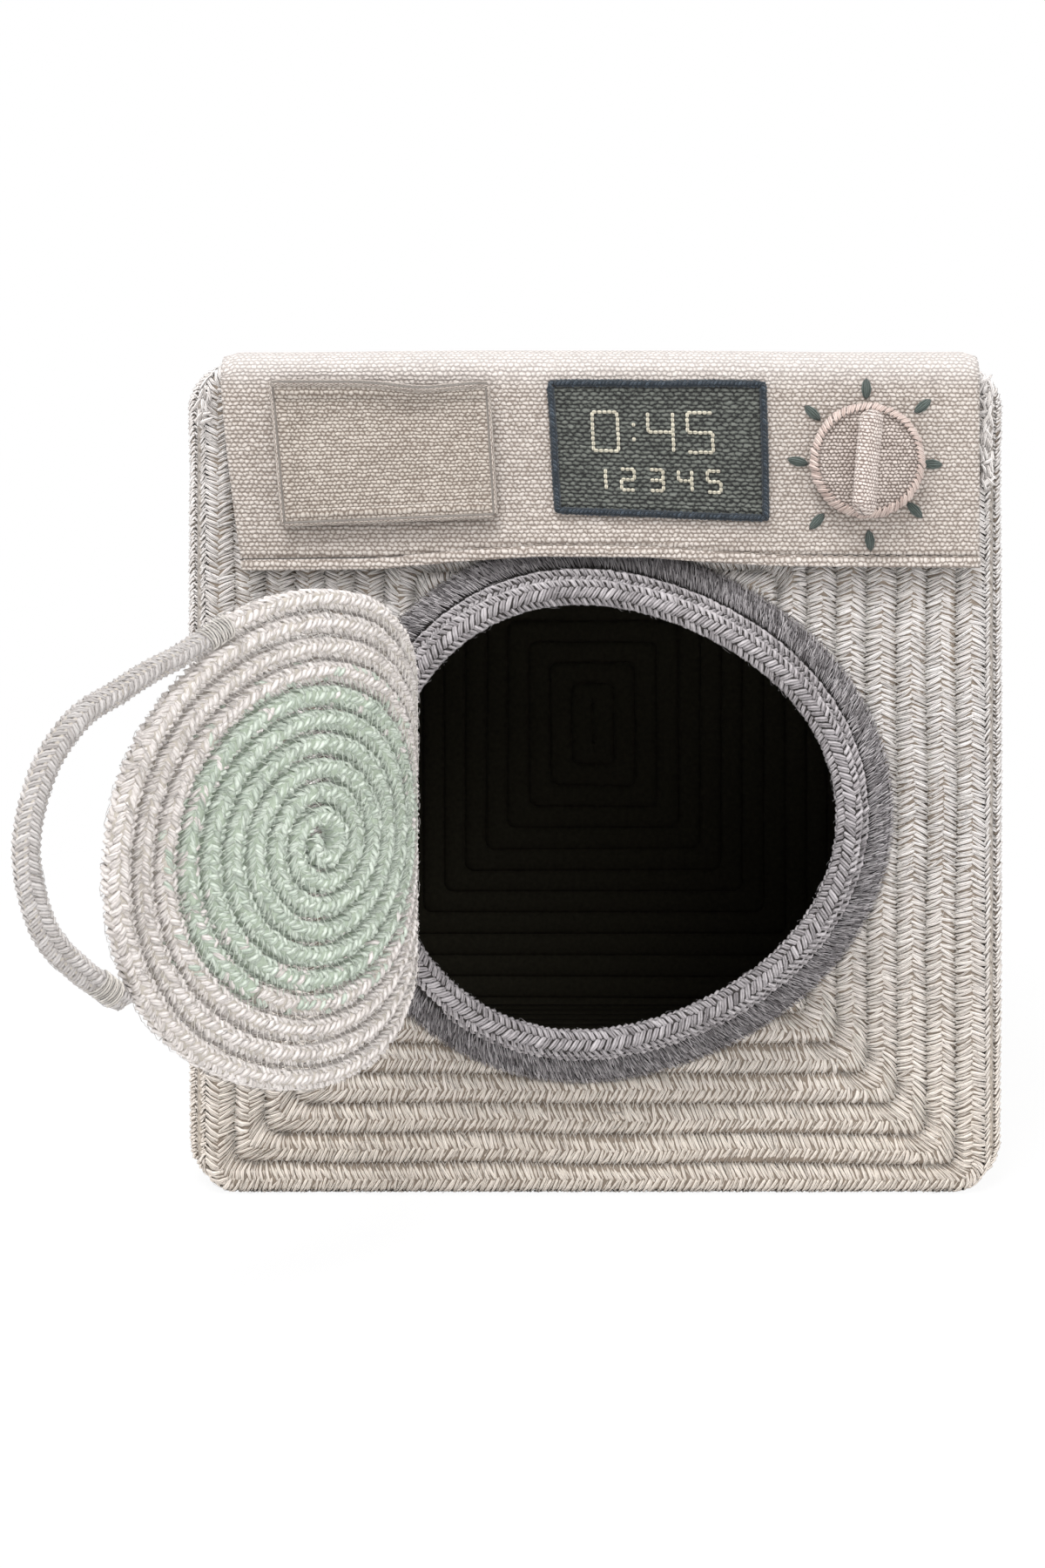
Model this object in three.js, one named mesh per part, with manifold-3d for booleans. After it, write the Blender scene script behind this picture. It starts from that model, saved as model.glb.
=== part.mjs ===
// A toy washing machine sewn from wound cotton rope, with a soft rope door and a cloth control flap.
// Millimetres, +Z up. The front faces -Y and +X is to the right of someone who looks at the front.
// The origin is on the floor under the middle of the body.
import * as THREE from "three";
import { mergeVertices } from "three/addons/utils/BufferGeometryUtils.js";
import Module from "manifold-3d";

const wasm = await Module();
wasm.setup();

// Gaps kept between touching pieces, and how far a cutter runs past what it cuts
const seatGap = 0.3;
const cutOverrun = 2;

// Body: a sleeve of rope rows between two flat rope mats, lying on its side
const panelWidth = 296;
const bodyHeight = 316;
const bodyDepth = 300;
const bodyRope = 11.5;
const panelThickness = 9.7;
const panelCornerRadius = 15;
const panelSetIn = 0.7;
const wallThickness = 9.5;
const wallCornerRadius = 24;
const wallStep = 6;
const wallBulge = 11;
const wallBow = 2.5;
const rowGroove = 1.4;
const wallRowShares = [0.22, 0.78];
const panelEdgeFall = 3.4;

// Mouth: the outline of the collar's inner edge, pulled wider on its left and drawn in by its corners
const mouthRadius = 79.2;
const mouthX = 3;
const mouthZ = 145;
const mouthWideShare = 0.032;
const mouthPullShare = 0.034;
const mouthHoleOverlap = 4.4;

// Collar: one grey rope that lies on the front mat for a turn, climbs, and lies on itself for a turn
const collarRope = 11.4;
const collarCoilGap = 0.6;
const collarStepIn = 4;
const collarTurns = 1.895;
const collarStartShare = 0.61;
const collarClimbShare = 0.067;
const collarStartTrimShare = 0.028;

// Binding: the close stitching that covers the cut edge of the front mat
const bindingWidth = 9.2;
const bindingThickness = 1.7;

// Control flap: a woven cloth sewn along the top, hanging over the front
const flapWidth = 282;
const flapX = 2;
const flapDrop = 76;
const flapThickness = 1.8;
const flapTopLength = 42;
const flapBend = 3;
const hemFold = 4.2;
const hemThickness = 0.9;

// Pocket on the left of the flap, open at its top
const pocketWidth = 82;
const pocketHeight = 51;
const pocketX = -78;
const pocketDrop = 12;
const pocketSheet = 1.4;
const pocketSpace = 4.8;
const pocketSeam = 3;
const pocketCorner = 4;
const pocketRoll = 2.6;
const pocketRollSag = 2.2;

// Display patch beside the pocket, with a cord sewn round it
const displayWidth = 80.5;
const displayHeight = 50.5;
const displayX = 23.2;
const displayDrop = 11.5;
const displayThickness = 1.3;
const displayCorner = 3;
const displayCord = 2.3;

// Dial: a padded cloth disc that turns on a press stud, with a stuffed ridge as its grip
const dialX = 101;
const dialDrop = 39.4;
const dialRadius = 21.6;
const dialThickness = 3.4;
const dialEdgeWidth = 1.6;
const dialEdgeRound = 0.9;
const gripLength = 38;
const gripWidth = 7.6;
const gripHeight = 7;
const gripTilt = 5;
const gripCrownShare = 0.94;
const studRadius = 4.8;
const studPlate = 1;
const studPost = 1.7;
const studPostLength = 2.3;
const studClearance = 0.3;
const socketRadius = 5.4;
const socketThickness = 1.6;

// Tick stitches round the dial
const tickCount = 8;
const tickRing = 27.6;
const tickLength = 8.4;
const tickWidth = 3.6;
const tickThickness = 1.6;

// Door: a flat coil, mint in the middle and cream outside, sewn to the collar along a vertical line
const doorRope = 7.2;
const doorPitch = 7.75;
const doorEndRadius = 79.3;
const doorColourRadius = 50.86;
const doorStartRadius = 4.6;
const doorEndAngle = 60;
const doorEdgeGap = 0.3;
const doorZ = 146;
const hingeX = -77;
const hingeStandOff = 5.4;
const doorRestAngle = -115;

// Handle: the last of the door's rope leaves the coil as a loop and is sewn back to it
const handleRope = 7.2;
const handleSteps = 30;
const handleSides = 8;
const handleShares = [
  [0.478, 0.829],
  [0.608, 0.754],
  [0.739, 0.698],
  [0.875, 0.63],
  [1.028, 0.55],
  [1.165, 0.374],
  [1.229, 0.109],
  [1.16, -0.164],
  [1.01, -0.335],
  [0.906, -0.416],
  [0.846, -0.508],
];

// Threads that sew the door's edge to the collar and the handle's ends to the coil
const hingeStitchCount = 5;
const hingeStitchRise = 8;
const hingeStitchFirst = -12;
const hingeThread = 0.7;
const hingeThreadPair = 1.3;
const hingeTipRise = 0.3;
const hingeHug = [130, 110, 90, 70];
const whipThread = 0.8;
const whipPasses = 4;
const whipPitch = 2.6;
const whipSweep = 150;
const whipPointsPerPass = 4;

// How finely round shapes are drawn
const fine = {
  cornerSteps: 3,
  sideSteps: 2,
  mouthSteps: 48,
  loopSteps: 24,
  loopSides: 6,
  collarSteps: 28,
  collarSides: 8,
  threadSides: 4,
  hingeThreadSteps: 14,
  whipStepsPerPoint: 1.5,
  rollSteps: 12,
  rollSides: 6,
  liningSteps: 10,
  gripRows: 5,
  tickSides: 8,
  tickRows: 4,
  discSteps: 24,
  bendSteps: 3,
};

// Places worked out from the sizes above
const front = -bodyDepth / 2;
const rad = THREE.MathUtils.degToRad;
const out = (distance) => front - distance;
const collarBaseOut = collarRope / 2 + seatGap;
const collarCoilStep = collarRope + collarCoilGap;
const collarRise = Math.sqrt(collarCoilStep ** 2 - collarStepIn ** 2);
const collarLipOut = collarBaseOut + collarRise;
const collarFrontOut = collarLipOut + collarRope / 2;
const hingeOut = collarFrontOut + hingeStandOff;
const bindingInner = collarRope + collarStepIn + seatGap;
const flapBackOut = seatGap + bindingThickness + seatGap;
const flapFrontOut = flapBackOut + flapThickness;
const patchBackOut = flapFrontOut + seatGap;
const flapHem = bodyHeight - flapDrop;
const pocketBase = bodyHeight - pocketDrop - pocketHeight;
const displayBase = bodyHeight - displayDrop - displayHeight;
const dialZ = bodyHeight - dialDrop;

const finish = {
  creamRope: { color: 0xe2ddd6, roughness: 0.95 },
  mintRope: { color: 0xb9c9bf, roughness: 0.95 },
  greyRope: { color: 0x9b9693, roughness: 0.95 },
  greyThread: { color: 0x84807c, roughness: 0.9 },
  flapCloth: { color: 0xd8d2c8, roughness: 0.97 },
  pocketCloth: { color: 0xdcd3c9, roughness: 0.97 },
  darkCloth: { color: 0x4a4c44, roughness: 0.97 },
  navyCord: { color: 0x3c424a, roughness: 0.95 },
  tickThread: { color: 0x57605a, roughness: 0.9 },
  dialCloth: { color: 0xded5cf, roughness: 0.97 },
  studMetal: { color: 0xb9bcc0, roughness: 0.35, metalness: 0.9 },
  creamThread: { color: 0xe6e1da, roughness: 0.9 },
};

const machine = new THREE.Group();

// A geometry without its seams, so that it closes on itself
function sealed(geometry) {
  const plain = geometry.index ? geometry.toNonIndexed() : geometry.clone();
  plain.deleteAttribute("normal");
  plain.deleteAttribute("uv");
  return mergeVertices(plain, 1e-4);
}

function addPiece(name, geometry, look, parent = machine) {
  const ready = sealed(geometry);
  ready.computeVertexNormals();
  const mesh = new THREE.Mesh(ready, new THREE.MeshStandardMaterial({ metalness: 0, ...look }));
  mesh.name = name;
  parent.add(mesh);
  return mesh;
}

function toSolid(geometry) {
  const ready = sealed(geometry);
  return new wasm.Manifold(new wasm.Mesh({
    numProp: 3,
    vertProperties: new Float32Array(ready.attributes.position.array),
    triVerts: new Uint32Array(ready.index.array),
  }));
}

function toGeometry(solid) {
  const mesh = solid.getMesh();
  const geometry = new THREE.BufferGeometry();
  geometry.setAttribute("position", new THREE.BufferAttribute(new Float32Array(mesh.vertProperties), 3));
  geometry.setIndex(new THREE.BufferAttribute(new Uint32Array(mesh.triVerts), 1));
  return geometry;
}

// Joins rings of as many points each into one closed body: a loop, or a bar with its ends filled
function joinRings(rings, looped = false) {
  const size = rings[0].length;
  const points = rings.flat();
  const faces = [];
  const last = looped ? rings.length : rings.length - 1;
  for (let k = 0; k < last; k += 1) {
    const here = k * size;
    const next = ((k + 1) % rings.length) * size;
    for (let i = 0; i < size; i += 1) {
      const j = (i + 1) % size;
      faces.push(here + i, here + j, next + j, here + i, next + j, next + i);
    }
  }
  if (!looped) {
    [0, rings.length - 1].forEach((k) => {
      const middle = new THREE.Vector3();
      rings[k].forEach((point) => middle.addScaledVector(point, 1 / size));
      points.push(middle);
      for (let i = 0; i < size; i += 1) {
        const a = k * size + i;
        const b = k * size + ((i + 1) % size);
        faces.push(points.length - 1, ...(k === 0 ? [b, a] : [a, b]));
      }
    });
  }
  const geometry = new THREE.BufferGeometry().setFromPoints(points);
  geometry.setIndex(faces);
  return facingOut(geometry);
}

// Turns every face round if the faces enclose a negative volume
function facingOut(geometry) {
  const at = (i) => new THREE.Vector3().fromBufferAttribute(geometry.attributes.position, i);
  const index = geometry.index.array;
  let volume = 0;
  for (let k = 0; k < index.length; k += 3) {
    volume += at(index[k]).dot(at(index[k + 1]).cross(at(index[k + 2])));
  }
  if (volume < 0) {
    for (let k = 0; k < index.length; k += 3) {
      [index[k + 1], index[k + 2]] = [index[k + 2], index[k + 1]];
    }
  }
  return geometry;
}

// A ring of points round an upright rectangle with round corners, at one depth in the body
function boxRing(halfWidth, low, high, radius, y, bow = 0) {
  const middle = (low + high) / 2;
  const halfHeight = (high - low) / 2;
  const corner = Math.min(radius, halfWidth, halfHeight);
  const ring = [];
  const quarters = [[1, 1], [-1, 1], [-1, -1], [1, -1]];
  quarters.forEach(([signX, signZ], quarter) => {
    for (let i = 0; i <= fine.cornerSteps; i += 1) {
      const turn = (quarter + i / fine.cornerSteps) * Math.PI / 2;
      const x = signX * (halfWidth - corner) + corner * Math.cos(turn);
      const z = middle + signZ * (halfHeight - corner) + corner * Math.sin(turn);
      ring.push(new THREE.Vector3(x, y, z));
    }
    if (quarter % 2 === 1) {
      const side = Math.cos((quarter + 1) * Math.PI / 2);
      for (let i = 1; i < fine.sideSteps; i += 1) {
        const share = 1 - 2 * i / fine.sideSteps;
        const z = middle + side * share * (corner - halfHeight);
        ring.push(new THREE.Vector3(side * halfWidth, y, z));
      }
    }
  });
  ring.forEach((point) => {
    const height = (point.z - middle) / halfHeight;
    point.x += Math.sign(point.x) * bow * (1 - height ** 2);
  });
  return ring;
}

// The mouth's outline, a distance outside the collar's inner edge. Turn 0 is its right, and it runs upwards
function mouthPoint(turn, offset, y) {
  const at = (angle) => {
    const swell = mouthWideShare * Math.cos(2 * angle) + mouthPullShare * Math.cos(3 * angle);
    const r = mouthRadius * (1 + swell);
    return new THREE.Vector3(mouthX + r * Math.cos(angle), y, mouthZ + r * Math.sin(angle));
  };
  const angle = turn * 2 * Math.PI;
  const nudge = rad(0.5);
  const along = at(angle + nudge).sub(at(angle - nudge)).normalize();
  const outward = new THREE.Vector3(along.z, 0, -along.x);
  return { point: at(angle).addScaledVector(outward, offset), outward };
}

function mouthShape(offset) {
  const points = [];
  for (let i = 0; i < fine.mouthSteps; i += 1) {
    const { point } = mouthPoint(i / fine.mouthSteps, offset, 0);
    points.push(new THREE.Vector2(point.x, point.z));
  }
  return points;
}

// An outline drawn in X and Z, given a thickness towards the front from a distance out
function frontPlate(shape, backOut, thickness, options = {}) {
  const geometry = new THREE.ExtrudeGeometry(shape, {
    depth: thickness,
    bevelEnabled: false,
    curveSegments: fine.cornerSteps,
    ...options,
  });
  geometry.rotateX(Math.PI / 2);
  geometry.translate(0, out(backOut), 0);
  return geometry;
}

function roundedShape(centreX, low, width, height, radius, Kind = THREE.Shape) {
  const left = centreX - width / 2;
  const right = centreX + width / 2;
  const high = low + height;
  const shape = new Kind();
  shape.moveTo(left + radius, low);
  shape.lineTo(right - radius, low);
  shape.absarc(right - radius, low + radius, radius, -Math.PI / 2, 0);
  shape.lineTo(right, high - radius);
  shape.absarc(right - radius, high - radius, radius, 0, Math.PI / 2);
  shape.lineTo(left + radius, high);
  shape.absarc(left + radius, high - radius, radius, Math.PI / 2, Math.PI);
  shape.lineTo(left, low + radius);
  shape.absarc(left + radius, low + radius, radius, Math.PI, 1.5 * Math.PI);
  return shape;
}

function polygonShape(count, radius) {
  const shape = new THREE.Shape();
  for (let i = 0; i < count; i += 1) {
    const angle = i / count * 2 * Math.PI;
    shape[i === 0 ? "moveTo" : "lineTo"](radius * Math.cos(angle), radius * Math.sin(angle));
  }
  return shape;
}

function threadAlong(points, thickness, steps, sides = fine.threadSides) {
  return new THREE.ExtrudeGeometry(polygonShape(sides, thickness / 2), {
    steps,
    extrudePath: new THREE.CatmullRomCurve3(points, false, "centripetal"),
  });
}

// Front and back mats

// A mat is one rope laid in shrinking rectangles from its edge to a slit in its middle
function matGeometry(facing, y) {
  const low = panelSetIn;
  const high = bodyHeight - panelSetIn;
  const halfWidth = panelWidth / 2;
  const rows = Math.round(halfWidth / bodyRope);
  const pitch = halfWidth / rows;
  const plateauShares = [0.2, 0.8];
  const edgeShares = [[0.3, 0], [0, 0.3], [0, 0.62]];
  const ringAt = (inset, depth) => {
    const kept = Math.min(inset, halfWidth - pitch * plateauShares[0]);
    const radius = Math.max(panelCornerRadius - kept, pitch * plateauShares[0] / 2);
    return boxRing(halfWidth - kept, low + kept, high - kept, radius, y + facing * depth);
  };
  const fall = (inset) => panelEdgeFall * Math.max(0, 1 - inset / (2 * pitch)) ** 2;
  const rings = edgeShares.map(([inset, depth]) => ringAt(inset * pitch, depth * panelThickness));
  for (let row = 0; row < rows; row += 1) {
    plateauShares.forEach((share) => {
      const inset = (row + share) * pitch;
      rings.push(ringAt(inset, panelThickness - fall(inset)));
    });
    if (row < rows - 1) {
      const inset = (row + 1) * pitch;
      rings.push(ringAt(inset, panelThickness - fall(inset) - rowGroove));
    }
  }
  return joinRings(rings);
}

const mouthCutter = frontPlate(
  new THREE.Shape(mouthShape(mouthHoleOverlap + collarRope / 2)),
  cutOverrun,
  -(panelThickness + 2 * cutOverrun),
);
const frontMat = toSolid(matGeometry(-1, front + panelThickness));
const frontMouth = toSolid(facingOut(sealed(mouthCutter)));
addPiece("front_panel", toGeometry(frontMat.subtract(frontMouth)), finish.creamRope);
addPiece("back_panel", matGeometry(1, -front - panelThickness), finish.creamRope);

// Wall: rows of rope wound round the box from front to back, bulging at the sides, flat below
function wallHalfWidth(y) {
  const share = (y - front) / bodyDepth;
  return panelWidth / 2 + wallStep + wallBulge * Math.sqrt(Math.sin(Math.PI * share));
}

function wallRing(y, depth) {
  return boxRing(
    wallHalfWidth(y) - depth, depth, bodyHeight - depth,
    wallCornerRadius - depth, y, wallBow,
  );
}

const wallEnd = bodyDepth / 2 - panelThickness - seatGap;
const wallRows = 2 * Math.floor(wallEnd / bodyRope) + 1;
const wallPitch = 2 * wallEnd / wallRows;
const wallRings = [];
for (let row = 0; row < wallRows; row += 1) {
  const start = row * wallPitch - wallEnd;
  wallRings.push(wallRing(start, rowGroove));
  wallRowShares.forEach((share) => wallRings.push(wallRing(start + wallPitch * share, 0)));
}
wallRings.push(wallRing(wallEnd, rowGroove));
for (let k = fine.liningSteps; k >= 0; k -= 1) {
  wallRings.push(wallRing((2 * k / fine.liningSteps - 1) * wallEnd, wallThickness));
}
addPiece("tub_wall", joinRings(wallRings, true), finish.creamRope);

// Binding round the mouth

const bindingShape = new THREE.Shape(mouthShape(bindingInner + bindingWidth));
bindingShape.holes.push(new THREE.Path(mouthShape(bindingInner)));
addPiece("mouth_binding", frontPlate(bindingShape, seatGap, bindingThickness), finish.greyThread);

// Collar

const smooth = (share) => THREE.MathUtils.smoothstep(share, 0, 1);

// The middle of the collar's rope, at a number of turns from its start on the mat
function collarPoint(turns) {
  const climbed = smooth((turns - (1 - collarClimbShare)) / collarClimbShare);
  const offset = collarRope / 2 + collarStepIn * (1 - climbed);
  const place = mouthPoint(collarStartShare + turns, offset, out(collarBaseOut + collarRise * climbed));
  return place;
}

// The last turn stops before it meets the climb, and the first starts clear of it
const collarFirst = collarStartTrimShare;
const collarLast = collarTurns + collarStartTrimShare;
const collarStepCount = Math.round((collarLast - collarFirst) * fine.collarSteps);
const collarTurnAt = (step) => collarFirst + (collarLast - collarFirst) * step / collarStepCount;

function coilGeometry(stepCount, placeAt, thickness, sides) {
  const rings = [];
  for (let step = 0; step <= stepCount; step += 1) {
    const { point, outward, forward } = placeAt(step);
    const ring = [];
    for (let i = 0; i < sides; i += 1) {
      const angle = (i + 0.5) / sides * 2 * Math.PI;
      ring.push(point.clone()
        .addScaledVector(outward, Math.cos(angle) * thickness / 2)
        .addScaledVector(forward, Math.sin(angle) * thickness / 2));
    }
    rings.push(ring);
  }
  return joinRings(rings);
}

// The least gap from one turn of a coil to the next, measured on points along its middle
function leastGap(stepCount, perTurn, placeAt, thickness) {
  let least = Infinity;
  const points = Array.from({ length: stepCount + 1 }, (_, step) => placeAt(step).point);
  for (let a = 0; a < points.length; a += 1) {
    for (let b = a + Math.ceil(perTurn / 2); b < points.length; b += 1) {
      least = Math.min(least, points[a].distanceTo(points[b]));
    }
  }
  return least - thickness;
}

const forwardY = new THREE.Vector3(0, -1, 0);
const collarPlace = (step) => {
  const { point, outward } = collarPoint(collarTurnAt(step));
  return { point, outward, forward: forwardY };
};
addPiece(
  "collar_rope",
  coilGeometry(collarStepCount, collarPlace, collarRope, fine.collarSides),
  finish.greyRope,
);
const collarGap = leastGap(collarStepCount, fine.collarSteps, collarPlace, collarRope);
console.log(`collar rope: least gap to itself ${collarGap.toFixed(2)} mm`);

// Control flap: down the front, round the top edge and back along the top

const flapTop = bodyHeight + seatGap;
const flapProfile = new THREE.Shape();
flapProfile.moveTo(-out(flapBackOut), flapHem);
flapProfile.lineTo(-out(flapBackOut), flapTop - flapBend);
flapProfile.absarc(-out(flapBackOut) - flapBend, flapTop - flapBend, flapBend, 0, Math.PI / 2);
flapProfile.lineTo(-out(flapBackOut) - flapTopLength, flapTop);
flapProfile.lineTo(-out(flapBackOut) - flapTopLength, flapTop + flapThickness);
flapProfile.lineTo(-out(flapBackOut) - flapBend, flapTop + flapThickness);
flapProfile.absarc(
  -out(flapBackOut) - flapBend, flapTop - flapBend, flapBend + flapThickness, Math.PI / 2, 0, true,
);
flapProfile.lineTo(-out(flapFrontOut), flapHem);
const flap = new THREE.ExtrudeGeometry(flapProfile, {
  depth: flapWidth,
  bevelEnabled: false,
  curveSegments: fine.bendSteps,
});

// The profile's first axis is -Y and its second is Z
const flapAxes = new THREE.Matrix4().makeBasis(
  new THREE.Vector3(0, -1, 0),
  new THREE.Vector3(0, 0, 1),
  new THREE.Vector3(-1, 0, 0),
);
flap.applyMatrix4(flapAxes);
flap.translate(flapX + flapWidth / 2, 0, 0);
addPiece("control_flap", flap, finish.flapCloth);

const hemShape = roundedShape(flapX, flapHem, flapWidth, hemFold, hemThickness);
addPiece("flap_hem", frontPlate(hemShape, patchBackOut, hemThickness), finish.flapCloth);

// Pocket: a sheet that stands off the flap, with its sides and foot sewn down and its top open

const pocketDepth = pocketSheet + pocketSpace;
const pocketOuter = frontPlate(
  roundedShape(pocketX, pocketBase, pocketWidth, pocketHeight, pocketCorner),
  patchBackOut, pocketDepth,
);
const pocketInside = frontPlate(
  roundedShape(
    pocketX, pocketBase + pocketSeam, pocketWidth - 2 * pocketSeam,
    pocketHeight - pocketSeam + pocketCorner + cutOverrun, pocketCorner - seatGap,
  ),
  patchBackOut - cutOverrun, pocketSpace + cutOverrun,
);
addPiece(
  "detergent_pocket",
  toGeometry(toSolid(pocketOuter).subtract(toSolid(pocketInside))),
  finish.pocketCloth,
);

const pocketTop = pocketBase + pocketHeight;
const rollPoints = [-1, -0.5, 0, 0.5, 1].map((share) => new THREE.Vector3(
  pocketX + share * (pocketWidth / 2 - pocketCorner),
  out(patchBackOut + pocketDepth + seatGap + pocketRoll / 2),
  pocketTop - pocketRoll / 2 - pocketRollSag * (1 - share ** 2),
));
const rolledHem = threadAlong(rollPoints, pocketRoll, fine.rollSteps, fine.rollSides);
addPiece("pocket_hem", rolledHem, finish.pocketCloth);

// Display patch and its cord

const displayInnerWidth = displayWidth - 2 * (displayCord + seatGap);
const displayInnerHeight = displayHeight - 2 * (displayCord + seatGap);
const displayShape = roundedShape(
  displayX, displayBase + displayCord + seatGap, displayInnerWidth, displayInnerHeight, displayCorner,
);
addPiece("display_patch", frontPlate(displayShape, patchBackOut, displayThickness), finish.darkCloth);

const cordShape = roundedShape(
  displayX, displayBase, displayWidth, displayHeight, displayCorner + displayCord,
);
cordShape.holes.push(roundedShape(
  displayX, displayBase + displayCord, displayWidth - 2 * displayCord, displayHeight - 2 * displayCord,
  displayCorner + seatGap, THREE.Path,
));
addPiece("display_cord", frontPlate(cordShape, patchBackOut, displayCord), finish.navyCord);

// Tick stitches

for (let k = 0; k < tickCount; k += 1) {
  const angle = Math.PI / 2 - k / tickCount * 2 * Math.PI;
  const bead = new THREE.SphereGeometry(1, fine.tickSides, fine.tickRows);
  const tick = addPiece(`tick_stitch_${k + 1}`, bead, finish.tickThread);
  tick.geometry.scale(tickLength / 2, tickThickness / 2, tickWidth / 2);
  tick.position.set(
    dialX + tickRing * Math.cos(angle),
    out(patchBackOut + tickThickness / 2),
    dialZ + tickRing * Math.sin(angle),
  );
  tick.rotation.y = -angle;
}

// Dial

// A body turned about the line that points out of the front, from radii and distances out
function turned(profile) {
  const points = profile.map(([radius, distance]) => new THREE.Vector2(radius, distance));
  const geometry = new THREE.LatheGeometry(points, fine.discSteps);
  geometry.rotateX(Math.PI);
  geometry.translate(dialX, front, dialZ);
  return facingOut(sealed(geometry));
}

const studPlateOut = patchBackOut + studPlate;
const socketBackOut = studPlateOut + seatGap;
const dialBackOut = studPlateOut + studPostLength + seatGap;
const dialFrontOut = dialBackOut + dialThickness;
const clothRadius = dialRadius - dialEdgeWidth - seatGap;
const studBore = studPost + studClearance;
addPiece("dial_stud", turned([
  [0, patchBackOut], [studRadius, patchBackOut], [studRadius, studPlateOut],
  [studPost, studPlateOut], [studPost, studPlateOut + studPostLength], [0, studPlateOut + studPostLength],
]), finish.studMetal);
addPiece("dial_socket", turned([
  [studBore, socketBackOut], [socketRadius, socketBackOut],
  [socketRadius, socketBackOut + socketThickness], [studBore, socketBackOut + socketThickness],
  [studBore, socketBackOut],
]), finish.studMetal);
addPiece("dial_face", turned([
  [0, dialBackOut], [clothRadius - dialEdgeRound, dialBackOut], [clothRadius, dialBackOut + dialEdgeRound],
  [clothRadius, dialFrontOut - dialEdgeRound], [clothRadius - dialEdgeRound, dialFrontOut],
  [0, dialFrontOut],
]), finish.dialCloth);
const edgeInner = dialRadius - dialEdgeWidth;
addPiece("dial_edge", turned([
  [edgeInner, dialBackOut], [dialRadius - dialEdgeRound, dialBackOut],
  [dialRadius, dialBackOut + dialEdgeRound], [dialRadius, dialFrontOut - dialEdgeRound],
  [dialRadius - dialEdgeRound, dialFrontOut], [edgeInner, dialFrontOut], [edgeInner, dialBackOut],
]), finish.dialCloth);

// The ridge is widest at its foot and runs to round ends
const gripRings = [];
for (let k = 0; k < fine.gripRows; k += 1) {
  const share = k / (fine.gripRows - 1);
  const swell = Math.sqrt(1 - (share * gripCrownShare) ** 2);
  const ring = [];
  for (let i = 0; i < fine.discSteps; i += 1) {
    const angle = i / fine.discSteps * 2 * Math.PI;
    const straight = (gripLength - gripWidth) / 2;
    const x = Math.cos(angle) * gripWidth / 2 * swell;
    const z = Math.sign(Math.sin(angle)) * straight + Math.sin(angle) * gripWidth / 2 * swell;
    const level = Math.abs(Math.sin(angle)) < 1e-9 ? 0 : z;
    ring.push(new THREE.Vector3(x, -share * gripHeight, level));
  }
  gripRings.push(ring);
}
const grip = addPiece("dial_grip", joinRings(gripRings), finish.dialCloth);
grip.position.set(dialX, out(dialFrontOut + seatGap), dialZ);
grip.rotation.y = rad(gripTilt);

// Door, drawn shut and then swung open about its sewn edge

const door = new THREE.Group();
door.position.set(hingeX, out(hingeOut), doorZ);
door.rotation.z = rad(doorRestAngle);
machine.add(door);

const outwardTurnsFromHinge = (180 - doorEndAngle) / 360;
const doorCentre = doorEdgeGap + doorEndRadius - doorPitch * outwardTurnsFromHinge + doorRope / 2;

// The middle of the coil's rope, at a number of turns before its outer end
function doorCoilPoint(turnsToEnd) {
  const radius = doorEndRadius - doorPitch * turnsToEnd;
  const angle = rad(doorEndAngle) + turnsToEnd * 2 * Math.PI;
  const outward = new THREE.Vector3(Math.cos(angle), 0, Math.sin(angle));
  const point = outward.clone().multiplyScalar(radius).add(new THREE.Vector3(doorCentre, 0, 0));
  return { point, outward, forward: forwardY };
}

function doorCoil(name, innerRadius, outerRadius, look) {
  const turnsAt = (radius) => (doorEndRadius - radius) / doorPitch;
  const first = turnsAt(innerRadius);
  const last = turnsAt(outerRadius);
  const steps = Math.round((first - last) * fine.loopSteps);
  const placeAt = (step) => doorCoilPoint(first + (last - first) * step / steps);
  addPiece(name, coilGeometry(steps, placeAt, doorRope, fine.loopSides), look, door);
  const gap = leastGap(steps, fine.loopSteps, placeAt, doorRope);
  console.log(`${name}: ${(first - last).toFixed(2)} turns, least gap to itself ${gap.toFixed(2)} mm`);
}

// The two colours meet end to end, half a gap to each side
const endTrim = doorPitch * seatGap / (4 * Math.PI * doorColourRadius);
doorCoil("door_center_coil", doorStartRadius, doorColourRadius - endTrim, finish.mintRope);
doorCoil("door_outer_coil", doorColourRadius + endTrim, doorEndRadius, finish.creamRope);

const doorOuterRadius = doorEndRadius + doorRope / 2;
const handlePoints = handleShares.map(([u, v]) => new THREE.Vector3(
  doorCentre + u * doorOuterRadius, 0, v * doorOuterRadius,
));
const coilEnd = doorCoilPoint(0);
const coilTangent = new THREE.Vector3(coilEnd.outward.z, 0, -coilEnd.outward.x);
handlePoints[0].copy(coilEnd.point).addScaledVector(coilTangent, seatGap);
const handleTube = threadAlong(handlePoints, handleRope, handleSteps, handleSides);
addPiece("door_handle", handleTube, finish.creamRope, door);

// A thread that goes back and forth over the outer side of a rope
function whipStitch(name, centre, along, across) {
  const points = [];
  const reach = handleRope / 2 + seatGap + whipThread / 2;
  const count = whipPasses * whipPointsPerPass;
  for (let i = 0; i <= count; i += 1) {
    const sweep = rad(whipSweep / 2) * Math.cos(i / whipPointsPerPass * Math.PI);
    const shift = (i / count - 0.5) * whipPasses * whipPitch;
    points.push(centre.clone()
      .addScaledVector(along, shift)
      .addScaledVector(across, reach * Math.cos(sweep))
      .addScaledVector(forwardY, reach * Math.sin(sweep)));
  }
  addPiece(name, threadAlong(points, whipThread, count * fine.whipStepsPerPoint), finish.creamThread, door);
}

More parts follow.
